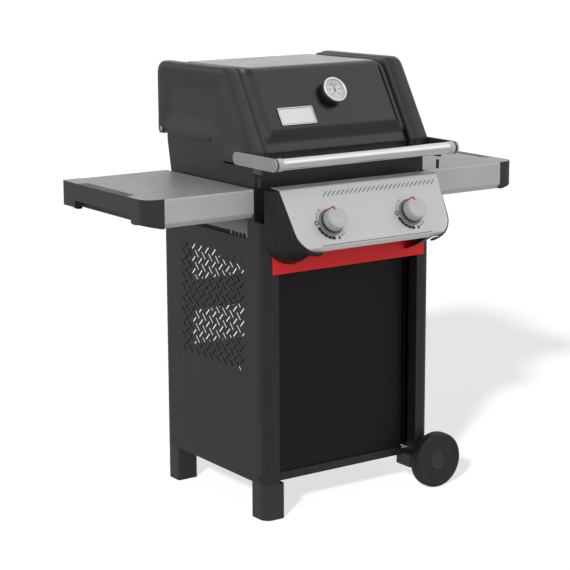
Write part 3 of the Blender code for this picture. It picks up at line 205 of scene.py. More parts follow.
# %% Plastics, print and glass
NYLON = make_finish("glass_filled_nylon_black", "#2e2e2f", 0.48, grain_mm=2.2, grain_deep_mm=0.06, drift=0.10,
                    gloss_spread=0.05, wear=0.25)
SHROUD_BLACK = make_finish("moulded_black_nylon", "#19191a", 0.46, grain_mm=2.2, grain_deep_mm=0.04, drift=0.10,
                           gloss_spread=0.05, wear=0.25, ior=1.42)
BEZEL_GREY = make_finish("mid_grey_painted_plastic", "#868685", 0.45, grain_mm=2.0, grain_deep_mm=0.012, drift=0.05,
                         gloss_spread=0.04, wear=0.2)
KNOB_DARK = make_finish("dark_grey_painted_plastic", "#4a4a4a", 0.45, grain_mm=2.0, grain_deep_mm=0.012, drift=0.05,
                        gloss_spread=0.04, wear=0.2)
GRIP = make_finish("ribbed_nylon_grip", "#2a2a2b", 0.62, grain_mm=3.4, grain_deep_mm=0.35, drift=0.22,
                   gloss_spread=0.08, wear=0.3)
SOFT_SILVER = make_finish("silver_painted_plastic", "#c4c4c3", 0.42, metallic=0.15, grain_mm=2.5,
                          grain_deep_mm=0.012, drift=0.03, gloss_spread=0.04, wear=0.2, worn_hex="#dededc")
ARM_GREY = make_finish("grey_paint_on_die_cast_zinc", "#a6a6a5", 0.40, metallic=0.3, grain_mm=2.5,
                       grain_deep_mm=0.015, drift=0.04, gloss_spread=0.04, wear=0.2, worn_hex="#b5b5b4")
PLATE_WHITE = make_finish("satin_anodised_aluminium", "#e4e4e2", 0.42, metallic=0.35, grain_mm=1.6,
                          grain_deep_mm=0.006, drift=0.04, gloss_spread=0.04, stretch=(0.05, 1, 1), wear=0.1)
INK = make_finish("black_printing_ink", "#161616", 0.50, grain_mm=1.0, grain_deep_mm=0.004, drift=0.15)
PALE_INK = make_finish("grey_printing_ink", "#484848", 0.50, grain_mm=1.0, grain_deep_mm=0.004, drift=0.10)
RED_INK = make_finish("red_lacquer", "#c8262a", 0.35, grain_mm=1.0, grain_deep_mm=0.004, drift=0.08)
DIAL_WHITE = make_finish("white_enamelled_dial", "#e6e6e4", 0.35, grain_mm=2.0, grain_deep_mm=0.004, drift=0.03)
RUBBER = make_finish("moulded_black_tyre_plastic", "#1d1d1e", 0.58, grain_mm=2.0, grain_deep_mm=0.08,
                     drift=0.12, gloss_spread=0.05)
# Painted shadow: a near-black for gaps, slots and recesses, where only shade is seen.
SHADOW_BLACK = make_finish("painted_shadow_black", "#080808", 0.7, grain_mm=3.0, grain_deep_mm=0.02)
print("materials made:", len(bpy.data.materials))

# %% [markdown]
# ## Tools for shapes
# Most parts of a barbecue are made in three ways: sheet is cut and folded (an outline pushed
# through space), round parts are turned (an outline spun round an axis), and castings are lofted
# through sections. The tools below are those three, and one that turns the result into a named
# piece that moves with the right body of the frame.

# %% Outline tools
def fillet(points, radii, steps=8, closed=True):
    """The outline with its corners rounded; radius 0 keeps a corner sharp."""
    result = []
    count = len(points)
    for i, (point, radius) in enumerate(zip(points, radii)):
        corner = Vector(point)
        if radius <= 0 or (not closed and i in (0, count - 1)):
            result.append(corner.copy())
            continue
        before = (Vector(points[i - 1]) - corner).normalized()
        after = (Vector(points[(i + 1) % count]) - corner).normalized()
        half = before.angle(after) / 2
        centre = corner + (before + after).normalized() * radius / math.sin(half)
        first = corner + before * radius / math.tan(half) - centre
        last = corner + after * radius / math.tan(half) - centre
        turn = first.angle_signed(last)
        for k in range(steps + 1):
            c, s = math.cos(-turn * k / steps), math.sin(-turn * k / steps)
            result.append(centre + Vector((first.x * c - first.y * s, first.x * s + first.y * c)))
    return result


def rounded_rectangle(low, high, radius, steps=5):
    corners = [(low[0], low[1]), (high[0], low[1]), (high[0], high[1]), (low[0], high[1])]
    return fillet(corners, [radius] * 4, steps)


def offset_path(path, distance):
    """An open path moved sideways to its right by distance, with mitred corners."""
    moved = []
    for i, here in enumerate(path):
        ways = []
        if i > 0:
            ways.append((here - path[i - 1]).normalized())
        if i < len(path) - 1:
            ways.append((path[i + 1] - here).normalized())
        rights = [Vector((way.y, -way.x)) for way in ways]
        middle = sum(rights, Vector((0, 0))).normalized()
        moved.append(here + middle * distance / middle.dot(rights[0]))
    return moved


def arc(centre, radius, start, end, steps=10):
    angles = [math.radians(start + (end - start) * i / steps) for i in range(steps + 1)]
    return [Vector((centre[0] + radius * math.cos(a), centre[1] + radius * math.sin(a))) for a in angles]


# %% Solid tools
def loft(rings, cap=True, closed=True):
    """A skin through rings of the same number of points; cap closes both ends."""
    bm = bmesh.new()
    rows = [[bm.verts.new(p) for p in ring] for ring in rings]
    count = len(rows[0])
    for first, second in zip(rows, rows[1:]):
        for i in range(count if closed else count - 1):
            j = (i + 1) % count
            bm.faces.new((first[i], first[j], second[j], second[i]))
    if cap:
        bm.faces.new(rows[0])
        bm.faces.new(rows[-1])
    return bm


def turned(profile, segments=48):
    """A profile of (radius, height) spun round Z; radius 0 closes on the axis."""
    bm = bmesh.new()
    rings = []
    for radius, height in profile:
        if radius == 0:
            rings.append([bm.verts.new((0, 0, height))])
            continue
        angles = [2 * math.pi * i / segments for i in range(segments)]
        rings.append([bm.verts.new((radius * math.cos(a), radius * math.sin(a), height)) for a in angles])
    pairs = list(zip(rings, rings[1:])) + ([] if profile[0][0] == 0 else [(rings[-1], rings[0])])
    for first, second in pairs:
        for i in range(segments):
            j = (i + 1) % segments
            corners = [first[i % len(first)], first[j % len(first)], second[j % len(second)], second[i % len(second)]]
            bm.faces.new(list(dict.fromkeys(corners)))
    return bm


def aim(bm, point, direction):
    """Turns a shape made along +Z to point along direction, and moves it to point."""
    turn = Vector((0, 0, 1)).rotation_difference(Vector(direction).normalized())
    bmesh.ops.transform(bm, matrix=Matrix.Translation(Vector(point)) @ turn.to_matrix().to_4x4(), verts=bm.verts)
    return bm


def block(low, high):
    return loft([[(low[0], low[1], z), (high[0], low[1], z), (high[0], high[1], z), (low[0], high[1], z)]
                 for z in (low[2], high[2])])


def side_block(side, low, high):
    """A block given for the right side, or its mirror image on the left."""
    a, b = sorted((side * low[0], side * high[0]))
    return block((a, low[1], low[2]), (b, high[1], high[2]))


def merge(parts):
    """Several shapes as one mesh."""
    whole = bmesh.new()
    for part in parts:
        scratch = bpy.data.meshes.new("scratch")
        part.to_mesh(scratch)
        part.free()
        whole.from_mesh(scratch)
        bpy.data.meshes.remove(scratch)
    return whole


def piece(name, bm, material, body, replaces=(), smooth_deg=32, bevel=0.0):
    """Names a shape, moves it to the frame's axes, and makes it ride on a body of the frame."""
    bmesh.ops.recalc_face_normals(bm, faces=bm.faces)
    bmesh.ops.translate(bm, verts=bm.verts, vec=SHIFT)
    mesh = bpy.data.meshes.new(name)
    bm.to_mesh(mesh)
    bm.free()
    mesh.shade_smooth()
    mesh.set_sharp_from_angle(angle=math.radians(smooth_deg))
    mesh.materials.append(material)
    obj = bpy.data.objects.new(name, mesh)
    bpy.context.scene.collection.objects.link(obj)
    if bevel:
        edge = obj.modifiers.new("soft edge", "BEVEL")
        edge.width, edge.segments, edge.limit_method, edge.harden_normals = bevel, 2, "ANGLE", True
        edge.angle_limit = math.radians(40)
    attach(obj, body)
    if replaces:
        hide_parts(*replaces)
    return obj


def thicken(obj, thickness, offset=-1.0, smooth_deg=32):
    """Gives an open sheet its thickness as real mesh, then marks its folds sharp again."""
    gauge = obj.modifiers.new("sheet gauge", "SOLIDIFY")
    gauge.thickness, gauge.offset = thickness, offset
    graph = bpy.context.evaluated_depsgraph_get()
    solid = bpy.data.meshes.new_from_object(obj.evaluated_get(graph))
    obj.modifiers.clear()
    obj.data = solid
    solid.shade_smooth()
    solid.set_sharp_from_angle(angle=math.radians(smooth_deg))
    return obj


def sheet_with_holes(outline, holes):
    """A flat 2D sheet as triangles, with closed holes left out. Returns points and faces."""
    points, edges = [], []
    for loop in [outline] + holes:
        start = len(points)
        points += [Vector(p) for p in loop]
        edges += [(start + i, start + (i + 1) % len(loop)) for i in range(len(loop))]
    verts, _, faces, _, _, _ = delaunay_2d_cdt(points, edges, [], 1, 1e-7)
    kept = []
    boxes = [(min(p[0] for p in h), max(p[0] for p in h), min(p[1] for p in h), max(p[1] for p in h), h)
             for h in holes]
    for face in faces:
        middle = sum((verts[i] for i in face), Vector((0, 0))) / len(face)
        if not any(a <= middle.x <= b and c <= middle.y <= d and inside(middle, h) for a, b, c, d, h in boxes):
            kept.append(face)
    return verts, kept


def inside(point, loop):
    """True if the point is inside a closed 2D loop."""
    hit = False
    for i, a in enumerate(loop):
        b = loop[i - 1]
        if (a[1] > point.y) != (b[1] > point.y):
            if point.x < (b[0] - a[0]) * (point.y - a[1]) / (b[1] - a[1]) + a[0]:
                hit = not hit
    return hit


# %% [markdown]
# ## The lid's sheet
# The middle of the lid is one steel sheet, bent over the top, with a raised field pressed into its
# front. It could be a box with bevels, but the light bands along its edges come from the press
# tool's shape, so the sheet is drawn as a side view swept across a cross section that has the same
# steps: field, slope, flange.

# %% Lid side view
PIVOT_Z = 1.000
LID_TOP, LID_BACK = 1.183, 0.243
LID_FRONT_TOP, LID_FRONT_LOW, LID_LOW, LID_SKIRT = -0.0930, -0.2170, 0.978, 0.945
FRONT_ROWS = (1.090, 1.034, 1.0315, 1.030, 1.027, 1.020, 1.012, 1.005, 1.002, 1.0005, 0.998)
lean = math.atan2(LID_FRONT_TOP - LID_FRONT_LOW, LID_TOP - LID_LOW)
LID_OUT = Vector((0, -math.cos(lean), math.sin(lean)))
LID_UP = Vector((0, math.sin(lean), math.cos(lean)))


def lid_point(x, z, out=0.0):
    """A point on the sloping front of the lid at height z, in cart axes."""
    y = LID_FRONT_LOW + (z - LID_LOW) * (LID_FRONT_TOP - LID_FRONT_LOW) / (LID_TOP - LID_LOW)
    return Vector((x, y, z)) + LID_OUT * out


def lid_side(back_corner=0.028, front_corner=0.040):
    """The lid from its back edge over the top to its front edge, as (Y, Z)."""
    corners = [(LID_BACK, PIVOT_Z - 0.006), (LID_BACK, 1.06), (LID_BACK, LID_TOP - 0.004), (0.10, LID_TOP - 0.003),
               (0.0, LID_TOP - 0.0015), (LID_FRONT_TOP, LID_TOP)]
    corners += [lid_point(0, z).yz for z in FRONT_ROWS]
    corners += [(LID_FRONT_LOW, LID_LOW), (LID_FRONT_LOW, LID_SKIRT)]
    radii = [0, 0, back_corner, 0, 0, front_corner] + [0] * len(FRONT_ROWS) + [0.010, 0]
    return fillet(corners, radii, 12, closed=False)


# %% Press the sheet
FIELD_HALF, SLOPE_HALF, SHELL_HALF = 0.203, 0.217, 0.2402
PRESS_DEEP, LOW_PRESS_TIMES = 0.0080, 1.8
SLOPE_TOP, SLOPE_LOW = 1.0310, 1.0010


def smooth(t):
    t = max(0.0, min(1.0, t))
    return t * t * (3 - 2 * t)


def ramp(t):
    """0 to 1 in a nearly straight line, a little eased at both ends."""
    t = max(0.0, min(1.0, t))
    return t + (smooth(t) - t) * 0.35


def press(x, y, z):
    """How far the sheet lies below its raised field at this place."""
    across = ramp((abs(x) - FIELD_HALF) / (SLOPE_HALF - FIELD_HALF))
    down = ramp((SLOPE_TOP - z) / (SLOPE_TOP - SLOPE_LOW)) if y < 0 else 0.0
    return max(PRESS_DEEP * across, PRESS_DEEP * LOW_PRESS_TIMES * down)


stations = [0.0, 0.10, 0.17, 0.195, FIELD_HALF]
stations += [FIELD_HALF + (SLOPE_HALF - FIELD_HALF) * k / 7 for k in range(1, 8)] + [0.222, 0.230, SHELL_HALF]
stations = [-x for x in reversed(stations[1:])] + stations
side_view = lid_side()
rows = []
for x in stations:
    outline = []
    inner = offset_path(side_view, -0.001)
    for point, towards in zip(side_view, inner):
        way = (towards - point).normalized()
        moved = point + way * press(x, point.x, point.y)
        outline.append((x, moved.x, moved.y))
    rows.append(outline)
lid_sheet = piece("lid_sheet", loft(rows, cap=False, closed=False), ENAMEL, "lid", ["lid_shell"], 50)
thicken(lid_sheet, 0.0022, -1, 24)
print("lid sheet:", len(rows), "stations,", len(side_view), "points each")

# %% [markdown]
# ## The cast end pieces
# Each end of the lid is an aluminium casting with a small bead, a groove and one broad rounded
# crest that runs up the front, over the top and down the back, and a softly dished outer face.
# The crest is a cross section swept along the same side view as the sheet; the face is a flat
# fill of its outline with a grid of points inside, so that the middle can sink a little.

# %% Casting cross section
# (distance from the lid's middle, height over the sheet's raised field)
CREST = [(0.2300, -0.0095), (0.2308, -0.0045), (0.2325, -0.0005), (0.2355, 0.0018), (0.2395, 0.0026),
         (0.2430, 0.0018), (0.2452, -0.0002), (0.2466, -0.0012), (0.2480, -0.0004), (0.2498, 0.0022),
         (0.2525, 0.0044), (0.2565, 0.0058), (0.2620, 0.0063), (0.2690, 0.0065), (0.2755, 0.0064),
         (0.2800, 0.0060), (0.2832, 0.0048), (0.2852, 0.0030), (0.2862, 0.0008), (0.2857, -0.0006),
         (0.2857, -0.0014), (0.2863, -0.0022)]
FACE_X = CREST[-1][0]
DISH_DEEP = 0.0045
SLOT_Y, SLOT_Z = -0.019, 0.996


def edge_distance(point, loop):
    """Distance from a point to the nearest side of a loop."""
    best = 1.0
    for i, b in enumerate(loop):
        a = loop[i - 1]
        along = b - a
        t = max(0.0, min(1.0, (point - a).dot(along) / max(along.length_squared, 1e-12)))
        best = min(best, (point - a - along * t).length)
    return best


# %% Cast both end pieces
def end_face():
    """Outline of the outer face: the swept edge and the lid's lower edge."""
    top = offset_path(lid_side(), CREST[-1][1])
    under = [(-0.063, LID_SKIRT), (-0.050, 0.9640), (-0.034, 0.9820), (-0.020, 0.9900), (-0.010, 0.9915),
             (0.205, 0.9915), (0.214, 0.9880), (top[0].x, 0.9880)]
    return top + [Vector(p) for p in under]


face_loop = end_face()
grid = []
for i in range(-20, 25):
    for j in range(0, 26):
        spot = Vector((i * 0.010 + 0.003, 0.940 + j * 0.010))
        if inside(spot, face_loop) and edge_distance(spot, face_loop) > 0.004:
            grid.append(spot)
slot_hole = rounded_rectangle((SLOT_Y - 0.0025, SLOT_Z - 0.005), (SLOT_Y + 0.0025, SLOT_Z + 0.005), 0.001, 2)
grid = [p for p in grid if (p - Vector((SLOT_Y, SLOT_Z))).length > 0.008]
points, edges = [], []
for loop in (face_loop, slot_hole):
    start = len(points)
    points += loop
    edges += [(start + i, start + (i + 1) % len(loop)) for i in range(len(loop))]
face_verts, _, face_tris, _, _, _ = delaunay_2d_cdt(points + grid, edges, [], 1, 1e-7)
face_tris = [f for f in face_tris
             if not inside(sum((face_verts[i] for i in f), Vector((0, 0))) / len(f), slot_hole)]

for side, word in SIDES:
    rows = []
    for x, out in CREST:
        rows.append([(side * x, p.x, p.y) for p in offset_path(lid_side(), out)])
    crest = loft(rows, cap=False, closed=False)
    dished = []
    for p in face_verts:
        sink = DISH_DEEP * smooth((edge_distance(p, face_loop) - 0.004) / 0.060)
        dished.append(crest.verts.new((side * (FACE_X - sink), p.x, p.y)))
    for tri in face_tris:
        crest.faces.new([dished[i] for i in tri])
    bmesh.ops.remove_doubles(crest, verts=crest.verts, dist=1e-5)
    casting = piece(f"lid_casting_{word}", crest, CASTING, "lid", [f"lid_end_cap_{word}"], 40)
    thicken(casting, 0.0030, -1, 40)
    # Painted shadow: a near-black plate behind the slot hole, so that it shows shade instead of light.
    shadow_plate = side_block(side, (0.2795, SLOT_Y - 0.006, SLOT_Z - 0.008), (0.2805, SLOT_Y + 0.006, SLOT_Z + 0.008))
    piece(f"slot_shadow_plate_{word}", shadow_plate, SHADOW_BLACK, "lid")
print("end face points:", len(face_verts), "triangles:", len(face_tris))

# %% [markdown]
# ## Thermometer
# A bought-in instrument: a dark cup against the lid, a polished bezel rolled over the glass, a
# white enamelled dial with graduations, and the needle that the frame already turns. The round
# parts are turned from their real cross sections, and the glass is thin and clear.

# %% Dial case
DIAL_X, DIAL_Z, DIAL_R = 0.019, 1.1075, 0.0362
dial_at = lid_point(DIAL_X, DIAL_Z, 0.0002)
FACE_UP = 0.0203
case_profile = [(0, 0), (0.0325, 0), (0.0330, 0.0015), (0.0326, 0.0125), (0.0338, 0.0140), (0.0338, 0.0155),
                (0.0310, 0.0160), (0, 0.0160)]
piece("thermometer_case", aim(turned(case_profile, 64), dial_at, LID_OUT), NYLON, "lid",
      ["thermometer"], 30)
bezel_profile = [(0.0300, 0.0150), (0.0340, 0.0150), (DIAL_R - 0.0004, 0.0158), (DIAL_R, 0.0175),
                 (DIAL_R, 0.0225), (DIAL_R - 0.0006, 0.0243), (DIAL_R - 0.0022, 0.0256), (DIAL_R - 0.0042, 0.0258),
                 (DIAL_R - 0.0060, 0.0250), (DIAL_R - 0.0072, 0.0236), (DIAL_R - 0.0078, 0.0200),
                 (DIAL_R - 0.0078, 0.0160)]
piece("thermometer_bezel", aim(turned(bezel_profile, 72), dial_at, LID_OUT), POLISHED, "lid", (), 30)
dial_face = [(0, FACE_UP - 0.002), (0.0286, FACE_UP - 0.002), (0.0286, FACE_UP), (0.0280, FACE_UP + 0.0002),
             (0, FACE_UP + 0.0002)]
piece("thermometer_dial", aim(turned(dial_face, 64), dial_at, LID_OUT), DIAL_WHITE, "lid")


# %% Graduations and numbers
def on_plane(origin, right, up, out, u, v, height):
    return origin + right * u + up * v + out * height


def printed(strokes, origin, right, up, low, high):
    """Flat printed shapes: each stroke is a closed 2D outline."""
    out = right.cross(up).normalized()
    return merge([loft([[on_plane(origin, right, up, out, p[0], p[1], h) for p in stroke] for h in (low, high)])
                  for stroke in strokes])


def tick(radius, length, width, degrees):
    a = math.radians(degrees)
    c, s = math.cos(a), math.sin(a)
    box = [(radius, -width / 2), (radius + length, -width / 2), (radius + length, width / 2), (radius, width / 2)]
    return [(u * c - v * s, u * s + v * c) for u, v in box]


def ring_band(radius, width, start, end, steps=18):
    """An open ring as one closed outline."""
    outer = arc((0, 0), radius + width / 2, start, end, steps)
    return outer + arc((0, 0), radius - width / 2, end, start, steps)


PRINT = FACE_UP + 0.00022, FACE_UP + 0.00030


def on_dial(strokes, high=PRINT[1]):
    return printed(strokes, dial_at, X_AXIS, LID_UP, PRINT[0], high)


ticks = [tick(0.0232, 0.0030 if k % 5 == 0 else 0.0018, 0.0007 if k % 5 == 0 else 0.0004, 230 - k * 280 / 50)
         for k in range(51)]
piece("thermometer_graduations", on_dial(ticks), INK, "lid")
hot_zone = [ring_band(0.0200, 0.0014, 40, 74), ring_band(0.0200, 0.0014, 86, 140)]
piece("thermometer_heat_zones", on_dial(hot_zone, FACE_UP + 0.00028), RED_INK, "lid")


def lettering(words, size, origin, right, up, low, high):
    """Numbers as thin raised shapes, each centred at (u, v) on the plane."""
    out = right.cross(up).normalized()
    parts = []
    turn = Matrix((right, up, out)).transposed().to_4x4()
    for text, u, v in words:
        curve = bpy.data.curves.new("number", "FONT")
        curve.body, curve.size, curve.align_x, curve.align_y = text, size, "CENTER", "CENTER"
        curve.extrude = (high - low) / 2
        curve.resolution_u = 3
        holder = bpy.data.objects.new("number", curve)
        bpy.context.scene.collection.objects.link(holder)
        mesh = holder.to_mesh()
        bm = bmesh.new()
        bm.from_mesh(mesh)
        place = Matrix.Translation(on_plane(origin, right, up, out, u, v, (low + high) / 2)) @ turn
        bmesh.ops.transform(bm, matrix=place, verts=bm.verts)
        parts.append(bm)
        holder.to_mesh_clear()
        bpy.data.objects.remove(holder)
        bpy.data.curves.remove(curve)
    return merge(parts)


numbers = []
for k, value in enumerate(("100", "200", "300", "400", "500", "600")):
    a = math.radians(230 - k * 280 / 5)
    numbers.append((value, 0.0158 * math.cos(a), 0.0158 * math.sin(a)))
piece("thermometer_numbers", lettering(numbers, 0.0058, dial_at, X_AXIS, LID_UP, *PRINT), INK, "lid")
boss = [(0, FACE_UP + 0.0018), (0.0018, FACE_UP + 0.0018), (0.0024, FACE_UP + 0.0024), (0.0022, FACE_UP + 0.0030),
        (0, FACE_UP + 0.0032)]
piece("needle_boss", aim(turned(boss, 24), dial_at, LID_OUT), RED_INK, "needle")


# %% Clear glass
def make_glass(name):
    """Thin clear glass: mostly see-through, with a mirror sheen that grows at a glancing view."""
    material = bpy.data.materials.new(name)
    material.use_nodes = True
    tree = material.node_tree
    tree.nodes.remove(tree.nodes["Principled BSDF"])
    place = add(tree, "TexCoord").outputs["Object"]
    smear = add(tree, "TexNoise", {"Vector": place, "Scale": per_metre(12), "Detail": 2.0})
    gloss = add(tree, "MapRange", {"Value": smear.outputs["Fac"], "To Min": 0.02, "To Max": 0.07})
    clear = add(tree, "BsdfTransparent", {"Color": linear("#f8faf9")})
    shine = add(tree, "BsdfGlossy", {"Color": linear("#ffffff"), "Roughness": gloss.outputs["Result"]})
    tilt = add(tree, "LayerWeight", {"Blend": 0.5})
    steep = add(tree, "Math", {0: tilt.outputs["Facing"], 1: 4.0}, operation="POWER")
    sheen = add(tree, "MapRange", {"Value": steep.outputs[0], "To Min": 0.04, "To Max": 0.9})
    mix = add(tree, "MixShader", {0: sheen.outputs["Result"], 1: clear.outputs[0], 2: shine.outputs[0]})
    tree.links.new(mix.outputs[0], tree.nodes["Material Output"].inputs["Surface"])
    return material


GLASS = make_glass("clear_float_glass")
lens = [(0, 0.0246), (0.010, 0.0245), (0.020, 0.0243), (0.0286, 0.0238)]
piece("thermometer_glass", aim(turned(lens, 48), dial_at, LID_OUT), GLASS, "lid")

# %% [markdown]
# ## The plate on the lid
# A small plate is riveted to the left of the lid. It is left blank: a satin pale field inside a
# dark line and a polished raised rim.

# %% Blank plate
plate_at = lid_point(-0.1125, 1.0585, 0.0003)
PLATE_W, PLATE_H = 0.111, 0.050


def framed(width, height, radius):
    return rounded_rectangle((-width / 2, -height / 2), (width / 2, height / 2), radius, 5)


def band(outer, inner, low, high, origin, right, up):
    """A flat frame between two outlines with the same number of points."""
    out = right.cross(up).normalized()
    rings = []
    for outline, h in ((outer, low), (outer, high), (inner, high), (inner, low), (outer, low)):
        rings.append([on_plane(origin, right, up, out, p[0], p[1], h) for p in outline])
    return loft(rings, cap=False)


base = printed([framed(PLATE_W, PLATE_H, 0.003)], plate_at, X_AXIS, LID_UP, 0.0, 0.0016)
piece("plate_base", base, SHADOW_BLACK, "lid", ["badge_plate"])
rim = band(framed(PLATE_W, PLATE_H, 0.003), framed(PLATE_W - 0.005, PLATE_H - 0.005, 0.002), 0.0005, 0.0030,
           plate_at, X_AXIS, LID_UP)
piece("plate_rim", rim, POLISHED, "lid", (), 32, 0.0005)
field = printed([framed(PLATE_W - 0.0075, PLATE_H - 0.0075, 0.0015)], plate_at, X_AXIS, LID_UP, 0.0014, 0.0022)
piece("plate_field", field, PLATE_WHITE, "lid", (), 32, 0.0002)

# %% [markdown]
# ## Handle
# The handle is a polished stainless tube held between two flat arms. Each end has a separate
# collar with a fine groove, and a stop with a soft pin under each arm lands on the cart when
# the lid shuts.

# %% Tube and collars
HANDLE_Y, HANDLE_Z, HANDLE_R = -0.323, 0.9610, 0.0155
ARM_IN = 0.2870
TUBE_END = ARM_IN - 0.0003
tube = [(HANDLE_R - 0.0015, -0.272), (HANDLE_R, -0.272), (HANDLE_R, 0.272), (HANDLE_R - 0.0015, 0.272)]
piece("handle_tube_polished", aim(turned(tube, 72), (0, HANDLE_Y, HANDLE_Z), (1, 0, 0)), POLISHED, "lid",
      ["handle_tube"], 30)
collar = [(0.0120, 0.2700), (0.0163, 0.2700), (0.0168, 0.2706), (0.0168, 0.2745), (0.0163, 0.2750),
          (0.0163, 0.2758), (0.0168, 0.2763), (0.0168, 0.2850), (0.0160, 0.2862), (0.0150, TUBE_END),
          (0.0120, TUBE_END)]
for side, word in SIDES:
    ring = aim(turned(collar, 72), (0, HANDLE_Y, HANDLE_Z), (side, 0, 0))
    piece(f"handle_collar_{word}", ring, SOFT_SILVER, "lid", (), 30)

# %% Arms and stops
ARM_HALF_H, ARM_BACK, ARM_THICK, ARM_LINER = 0.017, -0.142, 0.010, 0.0035
for side, word in SIDES:
    stadium = (arc((HANDLE_Y, HANDLE_Z), ARM_HALF_H, 90, 270, 20)
               + arc((ARM_BACK - ARM_HALF_H, HANDLE_Z), ARM_HALF_H, -90, 90, 20))
    rings = [[(side * x, p.x, p.y) for p in stadium] for x in (ARM_IN + ARM_LINER, ARM_IN + ARM_THICK)]
    piece(f"handle_arm_plate_{word}", loft(rings), ARM_GREY, "lid",
          [f"handle_arm_{word}"], 32, 0.0012)
    rings = [[(side * x, p.x, p.y) for p in stadium] for x in (ARM_IN, ARM_IN + ARM_LINER - 0.0001)]
    piece(f"handle_arm_liner_{word}", loft(rings), NYLON, "lid", (), 32, 0.0006)
    x = side * (ARM_IN + ARM_THICK - 0.0055)
    housing_top = HANDLE_Z - ARM_HALF_H + 0.002
    housing = block((x - 0.0045, -0.268, housing_top - 0.016), (x + 0.0045, -0.234, housing_top))
    # Painted light and shade: the left housing is a lighter grey than the right one, though both are one part.
    piece(f"stop_housing_{word}", housing, KNOB_DARK if side < 0 else NYLON, "lid", (), 32, 0.0012)
    pin = [(0, 0), (0.0036, 0), (0.0043, 0.0008), (0.0043, 0.0240), (0, 0.0240)]
    piece(f"stop_pin_{word}", aim(turned(pin, 24), (x, -0.257, 0.8970), (0, 0, 1)), NYLON,
          "lid")

# %% [markdown]
# ## Marks printed on the control panel
# The panel is one folded silver sheet, which the frame has already. What makes it read as a
# control panel is its print: a row of slanted strokes, and round each knob an off mark, a swept
# band that grows from low to high, and small flame signs. Each is a very thin raised shape.

# %% Panel plane
FACE_TOP_Y, FACE_TOP_Z = -0.296, 0.8884
LEAN = math.radians(29.3)
FACE_OUT = Vector((0, -math.cos(LEAN), math.sin(LEAN)))
FACE_UP_WAY = Vector((0, math.sin(LEAN), math.cos(LEAN)))
KNOB_X, KNOB_DOWN = 0.1297, 0.0969


def panel_point(x, down, out=0.0):
    """A point on the control panel: down from its top edge, out along its normal."""
    return Vector((x, FACE_TOP_Y, FACE_TOP_Z)) - FACE_UP_WAY * down + FACE_OUT * out


def on_panel(strokes, centre, low=0.0002, high=0.0004):
    """Printing on the panel's face."""
    return printed(strokes, centre, X_AXIS, FACE_UP_WAY, low, high)


def at_angle(radius, degrees):
    a = math.radians(degrees)
    return Vector((radius * math.cos(a), radius * math.sin(a)))


# %% Row of strokes
STROKES, STROKE_PITCH, STROKE_FROM = 26, 0.01425, -0.1225
strokes = []
for k in range(STROKES):
    u = STROKE_FROM + k * STROKE_PITCH
    strokes.append([(u - 0.0092, -0.0062), (u - 0.0064, -0.0062), (u + 0.0092, 0.0062), (u + 0.0064, 0.0062)])
piece("panel_strokes", on_panel(strokes, panel_point(0, 0.0195)), PALE_INK, "cart")


# %% Marks round each knob
MARK_R = 0.0437


def flame(u, v, size):
    """A plain drop shape, pointed at the top."""
    body = arc((u, v), size, 200, 340, 8)
    return body + [Vector((u + size * 0.55, v + size * 0.7)), Vector((u + size * 0.1, v + size * 2.0)),
                   Vector((u - size * 0.6, v + size * 0.8))]


for side, word in SIDES:
    centre = panel_point(side * KNOB_X, KNOB_DOWN)
    heavy = [ring_band(0.0430, 0.0085, a, a + 14.0, 6) for a in (193, 208.5, 224, 239.5, 255)]
    off_at = at_angle(0.0445, 178)
    heavy.append([off_at + q for q in ring_band(0.0052, 0.0026, 0, 359.9, 24)])
    high_at, low_at = at_angle(MARK_R, 285), at_angle(MARK_R, 314)
    heavy.append(flame(high_at.x, high_at.y - 0.0020, 0.0036))
    heavy.append(ring_band(MARK_R, 0.0016, 292, 308, 6))
    heavy.append(flame(low_at.x, low_at.y, 0.0018))
    piece(f"knob_marks_{word}", on_panel(heavy, centre), INK, "cart")
    spark_at = at_angle(0.0440, 126)
    fine = [ring_band(MARK_R, 0.0009, 134, 168, 14)]
    fine.append([spark_at + q for q in ring_band(0.0024, 0.0009, 0, 359.9, 20)])
    piece(f"knob_fine_marks_{word}", on_panel(fine, centre), PALE_INK, "cart")

# %% [markdown]
# ## Knobs
# Each knob is a painted plastic wall and cap with a dark skirt ring, a shallow groove round its
# face and a dimple in the middle. The skirt's dark nylon also paints the shadow gap at the knob's
# base. Each is turned from its cross section. A red line runs along the side and over the rim, to
# show where it points; it is a separate thin strip.

# %% Knobs and pointers
KNOB_BACK = 0.0078
KNOB_LONG, KNOB_WIDE = 0.0285, 0.0302
POINTER_AT = math.radians(98)
# (height over the knob's back, inner radius, outer radius, half width)
POINTER = [(-0.0050, 0.0285, 0.0330, 0.0017), (0.0235, 0.0280, 0.0322, 0.0017), (0.0262, 0.0270, 0.0316, 0.0026),
           (0.0284, 0.0215, 0.0290, 0.0026)]
shadow_skirt = [(0.0050, 0), (KNOB_WIDE + 0.0006, 0), (KNOB_WIDE + 0.0008, 0.0006), (KNOB_WIDE + 0.0008, 0.0026),
         (KNOB_WIDE - 0.0012, 0.0034), (0.0050, 0.0034)]
wall = [(0.0050, 0.0028), (KNOB_WIDE - 0.0022, 0.0028), (KNOB_WIDE - 0.0006, 0.0036), (KNOB_WIDE - 0.0004, 0.0050),
        (KNOB_WIDE - 0.0012, 0.0222), (KNOB_WIDE - 0.0030, 0.0225), (0.0050, 0.0225)]
cup = [(KNOB_WIDE - 0.0026, 0.0226), (KNOB_WIDE - 0.0012, 0.0228), (KNOB_WIDE - 0.0013, 0.0240),
       (KNOB_WIDE - 0.0018, 0.0260), (KNOB_WIDE - 0.0029, 0.0277), (KNOB_WIDE - 0.0042, KNOB_LONG - 0.0003),
       (0.0225, KNOB_LONG - 0.0003), (0.0222, KNOB_LONG - 0.0008), (0.0216, KNOB_LONG - 0.0008),
       (0.0213, KNOB_LONG - 0.0003), (0.0045, KNOB_LONG - 0.0006), (0.0030, KNOB_LONG - 0.0013),
       (0, KNOB_LONG - 0.0014)]
